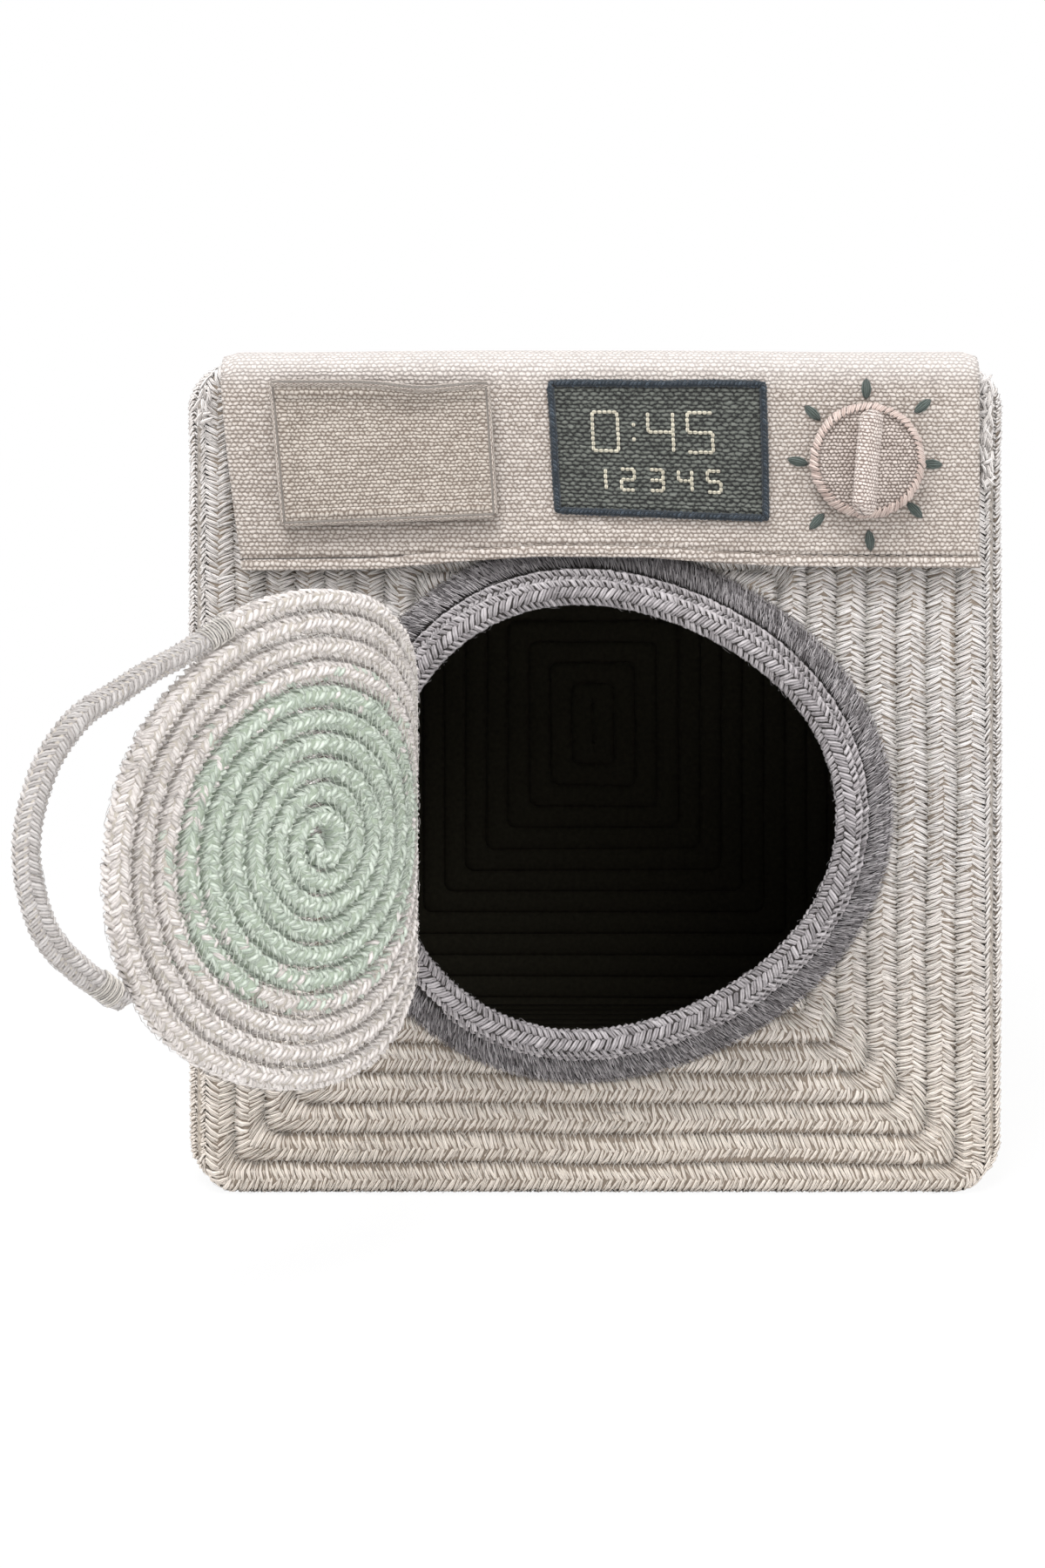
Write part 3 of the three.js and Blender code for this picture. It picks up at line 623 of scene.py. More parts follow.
# Towards the wider wall, the outermost row spreads at its upright sides
def matFlare(row, along):
    stretch, share = ringShare(*matRing((row + 0.5) * mat["pitch"]), along)
    quarter = np.where(stretch % 4 == 0, 1.0, 0.0)
    quarter = np.where(stretch % 4 == 1, 1 - share, quarter)
    return 0.7 * np.where(stretch % 4 == 3, share, quarter)


def matRopes(name, rows, strand, facing, hole, node, sewing, hairs):
    bundle = Bundle()
    squeeze = mat["pitch"] / 2 / bodyRope["radius"]
    matRope = bodyRope if hole else dict(bodyRope, spacing=wideSpacing)
    for row in rows:
        length = matLength(row)

        # no strands in the mouth, nor deep under the flap
        def clear(along):
            x, _, z = matPoints(row, 0 * along, 0 * along, along, facing).T
            hidden = (z > mat["hiddenAbove"]) & (np.abs(x) < mat["hiddenHalfWide"])
            return (mouthOffset(x, z) > mat["strandOffset"]) & ~hidden

        def someClear(along):
            return clear(along) & (rng.uniform(0, 1, len(along)) < hairs)
        allowed = clear if hole else None
        coats = [(matRope, strand, allowed)]
        if hairs:
            coats.append((bodyHair, stitchStrand, someClear))
        for rope, shape, keep in coats:
            laid = layBraid(shape, rope, [-1, 0] if row else [-2, -1, 0], length, looped=True, keep=keep)
            if laid:
                flare = matFlare(row, laid["along"])
                across, height = onRow(laid, matLow(row, laid["along"], facing), 0 if row else -1, flare)
                corners = matPoints(row, across * squeeze, height, laid["along"], facing)
                bundle.take(corners, turnedRound(laid["faces"], -facing), laid["uv"], laid["tint"])
        if row + 1 < mat["rows"]:
            sewn = layStitches(stitchStrand, length, sewing, allowed)
            if sewn:
                height = bodyRope["radius"] * (matLow(row, sewn["along"], facing) + 0.03) + sewn["above"]
                corners = matPoints(row, sewn["across"] + mat["pitch"] / 2, height, sewn["along"], facing)
                bundle.take(corners, turnedRound(sewn["faces"], -facing), sewn["uv"], sewn["tint"], 1)
    made = bundle.make(name, [creamYarn, creamThread])
    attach(made, "body")
    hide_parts(node)
    print(name, len(made.data.polygons))


# The plain rope under the strands: seen in the gaps and from inside, where its faces towards the inside are
# coloured near-black as painted deep shade
def matCore(name, facing, hole, node):
    bundle = Bundle()
    for row in range(mat["rows"]):
        lateral, height = coreRing(mat["pitch"], row, 99)
        inner = (height < -1) & ((row > 0) | (lateral > -4))
        length = matLength(row)
        fine = np.arange(0, length, 1.0)
        stretch, _ = ringShare(*matRing((row + 0.5) * mat["pitch"]), fine)
        clear = np.ones(len(fine), bool)
        if hole:
            place = matPoints(row, 0 * fine, 0 * fine, fine, facing)
            clear = mouthOffset(place[:, 0], place[:, 2]) > mat["holeOffset"]
        marks = (stretch % 2 == 1) | (np.roll(stretch, 1) != stretch) | (np.roll(stretch, -1) != stretch)
        marks |= (np.roll(clear, 1) != clear) | (np.roll(clear, -1) != clear)
        if clear.all():
            runs = [(np.flatnonzero(marks), True)]
        else:
            start = np.flatnonzero(clear & ~np.roll(clear, 1))
            runs = []
            for first in start:
                order = (first + np.arange(len(fine))) % len(fine)
                stop = np.argmin(clear[order])
                order = order[:stop]
                runs.append((order[marks[order]], False))
        for picks, looped in runs:
            if len(picks) < 2:
                continue
            ones = np.ones(len(lateral))
            rings = [matPoints(row, lateral, height, ones * fine[pick], facing) for pick in picks]
            faces = tubeFaces(len(rings), len(lateral), looped)
            corners = np.concatenate(rings)
            paintedShadeFaces = np.tile(inner, len(rings))[faces].sum(1) >= 2
            bundle.plain(corners, turnedRound(faces, -facing), paintedShadeFaces.astype(int))
    made = bundle.make(name, [creamShadeCore, paintedShadeCore])
    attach(made, "body")
    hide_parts(node)


matRopes("front_mat_edge_rows", range(0, 3), yarnStrand, -1, True, "front_panel", matSewing, 0.35)
matRopes("front_mat_inner_rows", range(3, 13), yarnStrand, -1, True, "front_panel", matSewing, 0.35)
matCore("front_mat_core", -1, True, "front_panel")
backSewing = dict(matSewing, spacing=2.4)
matRopes("back_mat_edge_rows", range(0, 4), coarseStrand, 1, False, "back_panel", backSewing, 0)
matRopes("back_mat_inner_rows", range(4, 13), coarseStrand, 1, False, "back_panel", backSewing, 0)
matCore("back_mat_core", 1, False, "back_panel")
print("mats laid")

# Wall: rows of rope wound round the box from front to back
wall = {
    "end": 140, "rows": 25, "halfWide": 154, "bulge": 12.5, "power": 0.9, "high": 316, "corner": 17,
    "bow": 0.8, "shoulder": 0.7, "shoulderZ": 298, "shoulderReach": 12,
}
wall["pitch"] = 2 * wall["end"] / wall["rows"]
wallSewing = dict(matSewing, spacing=3.6)


def wallRing(y, depth):
    swell = wall["bulge"] * np.sin(math.pi * (y - frontPlane) / (-2 * frontPlane)) ** wall["power"]
    return wall["halfWide"] + swell - depth, depth, wall["high"] - depth, wall["corner"] - depth


def wallMiddle(row):
    return -wall["end"] + (row + 0.5) * wall["pitch"]


def wallPoints(row, lateral, height, along):
    y0 = wallMiddle(row)
    stretch, share = ringShare(*wallRing(y0, 0.0), along)
    depth = bodyRope["radius"] - height
    y = y0 + lateral
    here = wallRing(y, depth)
    x, z = ringAt(*here, stretch, cornerEase(stretch, share, wallRing(y0, 0.0), here))
    level = (z - wall["high"] / 2) / (wall["high"] / 2 - depth)
    fromShoulder = (z - wall["shoulderZ"]) / wall["shoulderReach"]
    wider = wall["bow"] * (1 - level ** 2) + wall["shoulder"] * np.exp(-fromShoulder ** 2)
    return np.stack([x + np.sign(x) * wider, y, z], -1)


def wallLength(row):
    return ringLength(*wallRing(wallMiddle(row), 0.0))


def wallRopes(name, rows):
    bundle = Bundle()
    squeeze = wall["pitch"] / 2 / bodyRope["radius"]
    wallRope = bodyRope if name == "wall_front_rows" else dict(bodyRope, spacing=wideSpacing)
    underside = dict(bodyRope, yarns=1)
    for row in rows:
        length = wallLength(row)

        def below(along):
            return ringShare(*wallRing(wallMiddle(row), 0.0), along)[0] == 6

        def above(along):
            return ~below(along)
        for rope, keep in ((wallRope, above), (underside, below)):
            outerSide = {0: -1, wall["rows"] - 1: 1}.get(row, 0)
            columns = {0: [-2, -1, 0], wall["rows"] - 1: [-1, 0, 1]}.get(row, [-1, 0])
            laid = layBraid(coarseStrand, rope, columns, length, looped=True, keep=keep)
            across, height = onRow(laid, bodyRope["sideHeight"], outerSide)
            corners = wallPoints(row, across * squeeze, height, laid["along"])
            bundle.take(corners, laid["faces"], laid["uv"], laid["tint"])
        if row + 1 < wall["rows"]:
            sewn = layStitches(stitchStrand, length, wallSewing)
            height = bodyRope["radius"] * (bodyRope["sideHeight"] + 0.03) + sewn["above"]
            corners = wallPoints(row, sewn["across"] + wall["pitch"] / 2, height, sewn["along"])
            bundle.take(corners, sewn["faces"], sewn["uv"], sewn["tint"], 1)
    made = bundle.make(name, [creamYarn, creamThread])
    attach(made, "body")
    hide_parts("tub_wall")
    print(name, len(made.data.polygons))


def wallCore():
    bundle = Bundle()
    for row in range(wall["rows"]):
        lateral, height = coreRing(wall["pitch"], row, wall["rows"])
        # faces towards the inside take the painted shade
        inner = (height < -1) & ((row > 0) | (lateral > -4)) & ((row + 1 < wall["rows"]) | (lateral < 4))
        length = wallLength(row)
        along = np.arange(0, length, 9.0)
        rings = [wallPoints(row, lateral, height, np.full(len(lateral), one)) for one in along]
        faces = tubeFaces(len(rings), len(lateral), True)
        corners = np.concatenate(rings)
        paintedShadeFaces = np.tile(inner, len(rings))[faces].sum(1) >= 2
        bundle.plain(corners, faces, paintedShadeFaces.astype(int))
    made = bundle.make("wall_core", [creamShadeCore, paintedShadeCore])
    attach(made, "body")
    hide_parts("tub_wall")


for part, first in (("front", 0), ("fore", 5), ("middle", 10), ("rear", 15), ("back", 20)):
    wallRopes(f"wall_{part}_rows", range(first, first + 5))
wallCore()

# A thin twisted cord lies in the groove where each mat is sewn to the wall; its yarn is darker, a painted
# shade for the groove, and takes the painted bounce light near the floor
joinCord = {"radius": 2.2, "depth": 5.9, "y": 140.3, "step": 4.0, "twist": 4.0, "sides": 8}
joinShadeYarn = yarnLook("joinCordShadedYarn", tone(172, 165, 158), tone(112, 104, 97), floorBounce=1.0)


def makeJoinCords():
    bundle = Bundle()
    sides = joinCord["sides"]
    turns = np.arange(sides) / sides * 2 * math.pi
    for side in (-1, 1):
        y0 = side * joinCord["y"]
        ring = wallRing(y0, 0.0)
        length = ringLength(*ring)
        stations = np.arange(0, length, joinCord["step"])
        rings, uv = [], []
        for one in stations:
            stretch, share = ringShare(*ring, np.full(sides, one))
            depth = joinCord["depth"] - joinCord["radius"] * np.cos(turns)
            y = y0 + joinCord["radius"] * np.sin(turns)
            x, z = ringAt(*wallRing(y, depth), stretch, share)
            rings.append(np.stack([x, y, z], -1))
            around = one / joinCord["twist"] + np.arange(sides) * 3 / sides
            uv.append(np.stack([np.full(sides, one), around], -1))
        faces = tubeFaces(len(stations), sides, True)
        bundle.take(np.concatenate(rings), faces, np.concatenate(uv), np.zeros(sides * len(stations)))
    made = bundle.make("wall_join_cords", [joinShadeYarn])
    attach(made, "body")


makeJoinCords()
print("wall wound")


# A path in space with the directions that a rope on it needs
def makePath(points, outs, looped=False):
    points, outs = np.asarray(points, float), np.asarray(outs, float)
    if looped:
        points = np.concatenate([points[-3:], points, points[:3]])
        outs = np.concatenate([outs[-3:], outs, outs[:3]])
    steps = np.linalg.norm(np.diff(points, axis=0), axis=1)
    at = np.concatenate([[0], np.cumsum(steps)])
    run = np.gradient(points, at, axis=0)
    run /= np.linalg.norm(run, axis=1)[:, None]
    outs = outs - (outs * run).sum(1)[:, None] * run
    outs /= np.linalg.norm(outs, axis=1)[:, None]
    if looped:
        at -= at[3]
    length = at[-4] + np.linalg.norm(points[-4] - points[-3]) if looped else at[-1]
    return {"at": at, "points": points, "outs": outs, "sides": np.cross(run, outs), "length": length}


def follow(path, along):
    return [np.stack([np.interp(along, path["at"], path[key][:, k]) for k in range(3)], -1)
            for key in ("points", "outs", "sides")]


def onPath(path, angle, along, radial, flat=1.0):
    along = np.clip(along, path["at"][0], path["at"][-1])
    points, outs, sides = follow(path, along)
    level = np.sign(np.cos(angle)) * np.abs(np.cos(angle)) ** flat
    return points + radial[:, None] * (level[:, None] * outs + np.sin(angle)[:, None] * sides)


# Where a rope is cut, its strands draw in to a round end
def roundEnd(along, length, reach):
    if not reach:
        return 1 + 0 * along
    near = np.clip(np.minimum(along, length - along) / reach, 0.03, 1)
    return np.sqrt(1 - (1 - near) ** 2)


# strayAt gives some strands another colour, hairs is the share of strands with a stray fibre
def ropeOnPath(bundle, path, rope, strand, step=3.0, sink=1.4, strayAt=None, hairs=0.0, ends=0.0):
    length, flat, columns = path["length"], rope.get("flat", 1.0), range(rope["columns"])
    laid = layBraid(strand, rope, columns, length)
    drawnIn = roundEnd(laid["along"], length, ends)
    corners = onPath(path, laid["angle"], laid["along"], laid["radial"] * drawnIn, flat)
    slots = strayAt(laid["along"][laid["faces"][:, 0]], len(strand["faces"])) if strayAt else 0
    bundle.take(corners, laid["faces"][:, ::-1], laid["uv"], laid["tint"], slots)
    if hairs:
        hair = dict(rope, yarns=1, fill=0.12, thick=0.1, dip=0.1, loose=-0.25, scatter=0.5, overrun=0.3)

        def drawn(along):
            return rng.uniform(0, 1, len(along)) < hairs
        laid = layBraid(stitchStrand, hair, columns, length, keep=drawn)
        corners = onPath(path, laid["angle"], laid["along"], laid["radial"], flat)
        bundle.take(corners, laid["faces"][:, ::-1], laid["uv"], laid["tint"])
    # the core, with slimmer tips
    along = np.linspace(2.4, length - 2.4, max(3, round(length / step)))
    along = np.concatenate([[0, 0.8], along, [length - 0.8, length]])
    sides = 8
    turns = np.arange(sides) / sides * 2 * math.pi
    tip = {0: 0.4, 1: 0.8, len(along) - 2: 0.8, len(along) - 1: 0.4}
    rings = []
    for k, one in enumerate(along):
        thin = (rope["radius"] - sink) * tip.get(k, 1.0)
        rings.append(onPath(path, turns, np.full(sides, one), np.full(sides, thin), flat))
    bundle.plain(np.concatenate(rings), tubeFaces(len(rings), sides)[:, ::-1], 1)


# Collar: one grey rope, a turn on the mat, a climb, and a turn on itself
collar = {
    "radius": 5.7, "start": 0.61, "first": 0.028, "turns": 1.895, "climb": 0.067, "stepIn": 4,
    "baseOut": 6.0, "lipOut": 17.314,
}
collarRope = dict(
    bodyRope, columns=6, roll=0, thick=0.9, dip=1.0, fill=0.92, overrun=0.3, yarns=1, scatter=0.06,
)


def collarPath():
    turns = np.linspace(collar["first"], collar["first"] + collar["turns"], 420)
    climbed = smooth((turns - (1 - collar["climb"])) / collar["climb"])
    offset = collar["radius"] + collar["stepIn"] * (1 - climbed)
    x, z, _, _ = mouthPlace(collar["start"] + turns, offset)
    y = frontPlane - (collar["baseOut"] + (collar["lipOut"] - collar["baseOut"]) * climbed)
    points = np.stack([x, y, z], -1)
    return makePath(points, np.tile([0.0, -1.0, 0.0], (len(turns), 1)))


collarLine = collarPath()
bundle = Bundle()
ropeOnPath(bundle, collarLine, collarRope, yarnStrand, hairs=0.25, ends=4.5)
collarPiece = bundle.make("collar_braid", [greyYarn, greyShadeCore])
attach(collarPiece, "body")
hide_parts("collar_rope")
print("collar laid")

# Binding: close stitches over the cut edge of the mat, in overlapping ranks
binding = {
    "ranks": [(14.6, 19.4), (16.6, 21.6), (18.8, 23.6), (20.6, 25.4)], "count": 1080, "front": 2.3,
    "width": 0.52, "slant": 0.5, "steps": 144,
    "ring": ((19, -9.4), (10.4, -9.1), (10.4, 0.6), (13.0, 1.1), (23.6, 1.1), (23.6, 0.0)),
}


def makeBinding():
    bundle = Bundle()
    shape = coarseStrand["corners"]
    x, y, z = shape[:, 0], shape[:, 1], shape[:, 2]
    total = binding["count"]
    perimeter = 2 * math.pi * (mouth["radius"] + 20)
    for rank, (inner, outer) in enumerate(binding["ranks"]):
        turns = (np.arange(total) + rng.uniform(-0.35, 0.35, total) + 0.5 * rank) / total
        inners = inner + rng.uniform(-0.6, 0.6, total)
        outers = outer + rng.normal(0, 0.25, total)
        middle, half = (inners + outers) / 2, (outers - inners) / 2
        offset = middle[:, None] + x * half[:, None]
        lean = binding["slant"] + rng.normal(0, 0.16, total)
        sideways = x * half[:, None] * lean[:, None] + y * binding["width"] / 2
        px, pz, _, _ = mouthPlace((turns[:, None] + sideways / perimeter).ravel(), offset.ravel())
        edge = smooth((offset - 21.5) / 4.2) * 1.3
        lift = binding["front"] - 0.45 * (1 - z) - 0.5 * x * x - edge
        lift = lift + rng.uniform(-0.35, 0.25, total)[:, None]
        py = frontPlane - (lift + 0 * sideways).ravel()
        corners = np.stack([px, py, pz], -1)
        faces = (coarseStrand["faces"][None] + np.arange(total)[:, None, None] * len(x)).reshape(-1, 3)
        uv = np.stack([x * half[:, None] + rng.uniform(0, 90, total)[:, None], y + 0 * offset], -1)
        uv = uv.reshape(-1, 2)
        tint = np.repeat(np.clip(rng.normal(0, 0.5, total) - 0.15 * rank, -1, 1), len(x))
        bundle.take(corners, faces[:, ::-1], uv, tint)
    # a ring in the darker grey core colour lines the mouth's cut edge: painted shade
    rings = []
    for k in range(binding["steps"]):
        for offset, depth in binding["ring"]:
            px, pz, _, _ = mouthPlace(k / binding["steps"], offset)
            rings.append((px, frontPlane - depth, pz))
    faces = tubeFaces(binding["steps"], len(binding["ring"]), True)
    bundle.plain(np.array(rings), faces[:, ::-1], 1)
    made = bundle.make("binding_stitches", [bandYarn, greyShadeCore])
    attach(made, "body")
    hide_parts("mouth_binding")


makeBinding()
print("binding sewn")

# Door: a flat coil that hangs open in a curve. u runs from the hinge, v upwards, w to the closed outside
door = {
    "radius": 3.9, "pitch": 7.75, "endRadius": 79.3, "colourRadius": 50.86, "startRadius": 2.2,
    "endDegrees": 60, "centreU": 80.617, "hingeX": -77, "hingeOut": 28.414, "z": 146,
    "bendDegrees": 115, "bendStart": -69.5, "bendEnd": 155.4, "shrink": 10, "shrinkFrom": 40,
    "shrinkTo": 120, "pinch": 0.2, "pinchReach": 60, "lift": 0.95, "tilt": -0.012, "extraDegrees": 4.2,
    "extraFrom": 130, "extraTo": 195,
}
doorRope = {
    "radius": 3.9, "spacing": 2.3, "columns": 6, "rise": 0.95, "overrun": 0.34, "fill": 1.08,
    "thick": 0.75, "dip": 0.6, "loose": 0.45, "roll": 0, "scatter": 0.15, "flat": 0.5,
}
doorSewing = {"spacing": 2.3, "length": 5.8, "thread": 0.32, "slant": 0.6, "dip": 0.4}
handleRope = dict(doorRope, scatter=0.03, loose=0.08, spacing=2.1, fill=1.05, flat=1.0, thick=0.5, dip=0.45)


def doorPlace(flat):
    u, v, w = flat[:, 0], flat[:, 1], flat[:, 2]
    v = v * (1 - door["pinch"] * (1 - smooth(u / door["pinchReach"])))
    v = v + door["lift"] + door["tilt"] * (u - door["centreU"])
    rho = u - door["shrink"] * ramp(u, door["shrinkFrom"], door["shrinkTo"])
    full = math.radians(door["bendDegrees"])
    phi = np.full(len(u), math.pi / 2)
    for _ in range(70):
        reach = rho * np.sin(phi) + w * np.cos(phi)
        phi = 0.5 * phi + 0.5 * full * ramp(door["hingeOut"] + reach, door["bendStart"], door["bendEnd"])
    phi += math.radians(door["extraDegrees"]) * ramp(u, door["extraFrom"], door["extraTo"])
    x = rho * np.cos(phi) - w * np.sin(phi)
    reach = rho * np.sin(phi) + w * np.cos(phi)
    return np.stack([door["hingeX"] + x, frontPlane - door["hingeOut"] - reach, door["z"] + v], -1)


def coilPath(innerRadius, outerRadius):
    first = (door["endRadius"] - innerRadius) / door["pitch"]
    last = (door["endRadius"] - outerRadius) / door["pitch"]
    turns = np.linspace(first, last, round((first - last) * 72))
    radius = door["endRadius"] - door["pitch"] * turns
    angle = math.radians(door["endDegrees"]) + turns * 2 * math.pi
    points = np.stack([door["centreU"] + radius * np.cos(angle), radius * np.sin(angle), 0 * turns], -1)
    return makePath(points, np.tile([0.0, 0.0, -1.0], (len(turns), 1)))


def bendDoor(piece):
    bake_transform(piece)


def doorStitches(bundle, innerRadius, outerRadius, slot):
    path = coilPath(innerRadius, outerRadius)
    for face in (-1, 1):
        sewn = layStitches(stitchStrand, path["length"], doorSewing)
        points, _, _ = follow(path, np.clip(sewn["along"], 0, path["length"]))
        lateral = sewn["across"] + door["pitch"] / 2
        height = doorRope["radius"] * 0.86 + sewn["above"]
        away = points - [door["centreU"], 0, 0]
        away /= np.linalg.norm(away, axis=1)[:, None]
        flat = points + lateral[:, None] * away + np.array([0, 0, 1.0]) * (face * height)[:, None]
        bundle.take(doorPlace(flat), sewn["faces"], sewn["uv"], sewn["tint"], slot)


def doorCoil(name, innerRadius, outerRadius, stitchTo, looks, node):
    bundle = Bundle()
    path = coilPath(innerRadius, outerRadius)
    middle = innerRadius < door["colourRadius"]

    # where the two colours meet, some strands have the other one's colour
    def strayAt(along, facesEach):
        away = path["length"] - along if middle else along
        chance = np.where(away < 90, 0.35, np.where(away < 330, 0.1, 0.0))
        drawn = np.repeat(rng.uniform(0, 1, len(along) // facesEach), facesEach)
        return np.where(drawn < chance, 3, 0)
    rope = dict(doorRope, scatter=0.27, loose=0.55) if middle else doorRope
    ropeOnPath(bundle, path, rope, yarnStrand, step=4.5, sink=1.0, strayAt=strayAt, hairs=0.6)
    bundle.corners = [doorPlace(corners) for corners in bundle.corners]
    doorStitches(bundle, innerRadius, stitchTo, 2)
    made = bundle.make(name, looks)
    print(name, len(made.data.polygons))
    bendDoor(made)
    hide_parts(node)


doorCoil("door_mint_braid", door["startRadius"], door["colourRadius"], door["colourRadius"],
         [mintYarn, mintCore, mintThread, doorYarn], "door_center_coil")
doorCoil("door_cream_braid", door["colourRadius"], door["endRadius"], door["endRadius"] - door["pitch"],
         [doorYarn, doorCore, creamThread, mintYarn], "door_outer_coil")

handle = {
    "shares": [
        (0.440, 0.852), (0.478, 0.829), (0.608, 0.754), (0.739, 0.698), (0.875, 0.63), (1.028, 0.55),
        (1.165, 0.374), (1.229, 0.109), (1.16, -0.164), (1.03, -0.318), (0.93, -0.398), (0.865, -0.438),
        (0.8, -0.47),
    ],
    "reach": 82.9, "behind": [0.6, 2.6, 4.4],
}


# A smooth curve through points, from pieces that each use four of them
def throughPoints(points, steps):
    points = np.asarray(points, float)
    full = np.concatenate([[2 * points[0] - points[1]], points, [2 * points[-1] - points[-2]]])
    made = []
    for k in range(1, len(full) - 2):
        a, b, c, d = full[k - 1:k + 3]
        share = np.linspace(0, 1, steps, endpoint=False)[:, None]
        made.append(0.5 * (2 * b + (c - a) * share + (2 * a - 5 * b + 4 * c - d) * share ** 2
                           + (3 * b - a - 3 * c + d) * share ** 3))
    return np.concatenate([*made, points[-1:]])


handleFlat = np.array([(u, v, 0) for u, v in handle["shares"]]) * handle["reach"] + [door["centreU"], 0, 0]
# its end slips behind the coil's edge
handleFlat[-3:, 2] = handle["behind"]
handleLine = throughPoints(handleFlat, 14)
bundle = Bundle()
handlePath = makePath(handleLine, np.tile([0.0, 0.0, -1.0], (len(handleLine), 1)))
ropeOnPath(bundle, handlePath, handleRope, yarnStrand, sink=0.6, hairs=0.06)
bundle.corners = [doorPlace(corners) for corners in bundle.corners]
handlePiece = bundle.make("handle_braid", [handleShadedYarn, doorCore])
bendDoor(handlePiece)
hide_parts("door_handle")
print("door coiled")


# A round thread along a line of points
def threadOn(bundle, line, outs, thickness, slot=0, sides=5):
    path = makePath(line, outs)
    turns = np.arange(sides) / sides * 2 * math.pi
    rings = [onPath(path, turns, np.full(sides, one), np.full(sides, thickness / 2)) for one in path["at"]]
    corners = np.concatenate(rings)
    faces = tubeFaces(len(rings), sides)
    uv = np.stack([np.repeat(path["at"], sides), np.tile(np.arange(sides) * thickness, len(rings))], -1)
    bundle.take(corners, faces[:, ::-1], uv, np.full(len(corners), rng.normal(0, 0.3)), slot)


# Whip stitches: thread passed over both ends of the handle, through the coil beside it
whip = {"passes": 6, "pitch": 1.5, "reach": 4.0, "sweepDegrees": 165}


def whipStitches(name, centre, along, node):
    bundle = Bundle()
    along = along / np.linalg.norm(along)
    across = np.array([-along[1], along[0], 0])
    steps = np.arange(whip["passes"] * 10 + 1)
    sweep = math.radians(whip["sweepDegrees"] / 2) * np.cos(steps / 10 * math.pi)
    shift = (steps / steps[-1] - 0.5) * whip["passes"] * whip["pitch"]
    line = centre + np.outer(shift, along) + whip["reach"] * np.outer(np.sin(sweep), across)
    line[:, 2] -= whip["reach"] * np.cos(sweep)
    for shift in (0, 0.9):
        moved = line + along * shift
        threadOn(bundle, moved, moved - centre - along * ((moved - centre) @ along)[:, None], 0.5)
    bundle.corners = [doorPlace(corners) for corners in bundle.corners]
    made = bundle.make(name, [creamThread])
    bendDoor(made)
    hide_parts(node)


whipStitches("upper_whip_thread", handleFlat[1], handleFlat[2] - handleFlat[1], "handle_stitch_upper")
whipStitches("lower_whip_thread", handleFlat[-3], handleFlat[-2] - handleFlat[-4], "handle_stitch_lower")
print("handle sewn")


# Woven cloth: rows of short yarn floats, each row shifted by half a float
def weaveLook(name, light, dark, gapShade, cell, rowPitch, depth, blotch=0.2, topLightAmount=0.0):
    look = Recipe(name, sheen=0.2)
    right, up = look.part(look.uvPlace(), 0), look.part(look.uvPlace(), 1)
    wobble = look.noise(look.uvPlace(), 0.3, 3.0, 0.6)
    row = up / rowPitch + (wobble - 0.5) * 1.2
    rowNumber = row.math("FLOOR")
    drift = look.noise(look.uvPlace(), 0.45, 3.0, 0.65)
    column = right / cell + rowNumber * 0.5 + (drift - 0.5) * 1.7
    side = column.math("FRACT") - 0.5
    level = row.math("FRACT") - 0.5
    pill = (1 - (side * side * 3.2 + level * level * 3.6)).math("MAXIMUM", 0.0)
    number = look.add("CombineXYZ", {}, {0: column.math("FLOOR"), 1: rowNumber, 2: 0.5})
    lot = look.add("TexWhiteNoise", {}, {"Vector": number})
    fibres = look.noise(look.uvPlace(), 1.0, 2.0, 0.6, stretch=(1.2, 4.0, 1.0))
    cloud = look.noise(look.objectPlace(), 30.0, 3.0)
    streak = look.noise(look.uvPlace(), 1.0, 2.0, 0.5, stretch=(0.05, 0.8, 1.0))
    # float middles are lightest and the gaps between floats darkest: painted shade of the weave
    share = pill * 1.1 + (fibres - 0.5) * 0.6 + (cloud - 0.5) * blotch + (streak - 0.5) * 0.7
    share = share + (lot - 0.5) * 0.32 - 0.16
    shades = look.add("ValToRGB", {"stops": [(0.0, gapShade), (0.35, dark), (1.0, light)]}, {0: share})
    # Above 30.3 cm the cloth is mixed towards a pale tone: painted light where the flap bends over the top
    high = look.part(look.objectPlace(), 2)
    paintedTopLight = ((high - 0.303) * 90).clamped() * topLightAmount
    look.paint(look.mix(paintedTopLight, shades, tone(240, 236, 236)))
    look.raiseBy(pill + fibres * 0.25, 1.0, depth)
    return look.material


# the flap's cloth takes that painted top light
flapWeave = weaveLook("flapWeave", tone(203, 195, 189), tone(168, 158, 150), tone(127, 116, 108),
                      cell=2.05, rowPitch=1.55, depth=0.4, blotch=0.25, topLightAmount=0.3)
pocketWeave = weaveLook("pocketWeave", tone(195, 186, 178), tone(157, 147, 137), tone(113, 101, 92),
                        cell=1.85, rowPitch=1.4, depth=0.35)
dialWeave = weaveLook("dialWeave", tone(207, 196, 190), tone(160, 148, 141), tone(98, 85, 78),
                      cell=1.6, rowPitch=1.3, depth=0.4)
# the ridge's weave is lighter than the pad's: painted light for its lit face
ridgeLitWeave = weaveLook("ridgeLitWeave", tone(228, 217, 211), tone(184, 171, 164), tone(122, 107, 100),
                       cell=1.6, rowPitch=1.3, depth=0.35)
darkWeave = weaveLook("darkPatchWeave", tone(108, 111, 105), tone(60, 63, 59), tone(16, 17, 16),
                      cell=3.2, rowPitch=1.6, depth=0.6)
pocketFoldHighlight = weaveLook("pocketFoldHighlightWeave", tone(216, 207, 199), tone(174, 163, 153), tone(118, 104, 95),
                       cell=1.85, rowPitch=1.4, depth=0.3)
clothEdge = yarnLook("cutClothEdge", tone(206, 198, 191), tone(150, 140, 131), fibre=0.8)


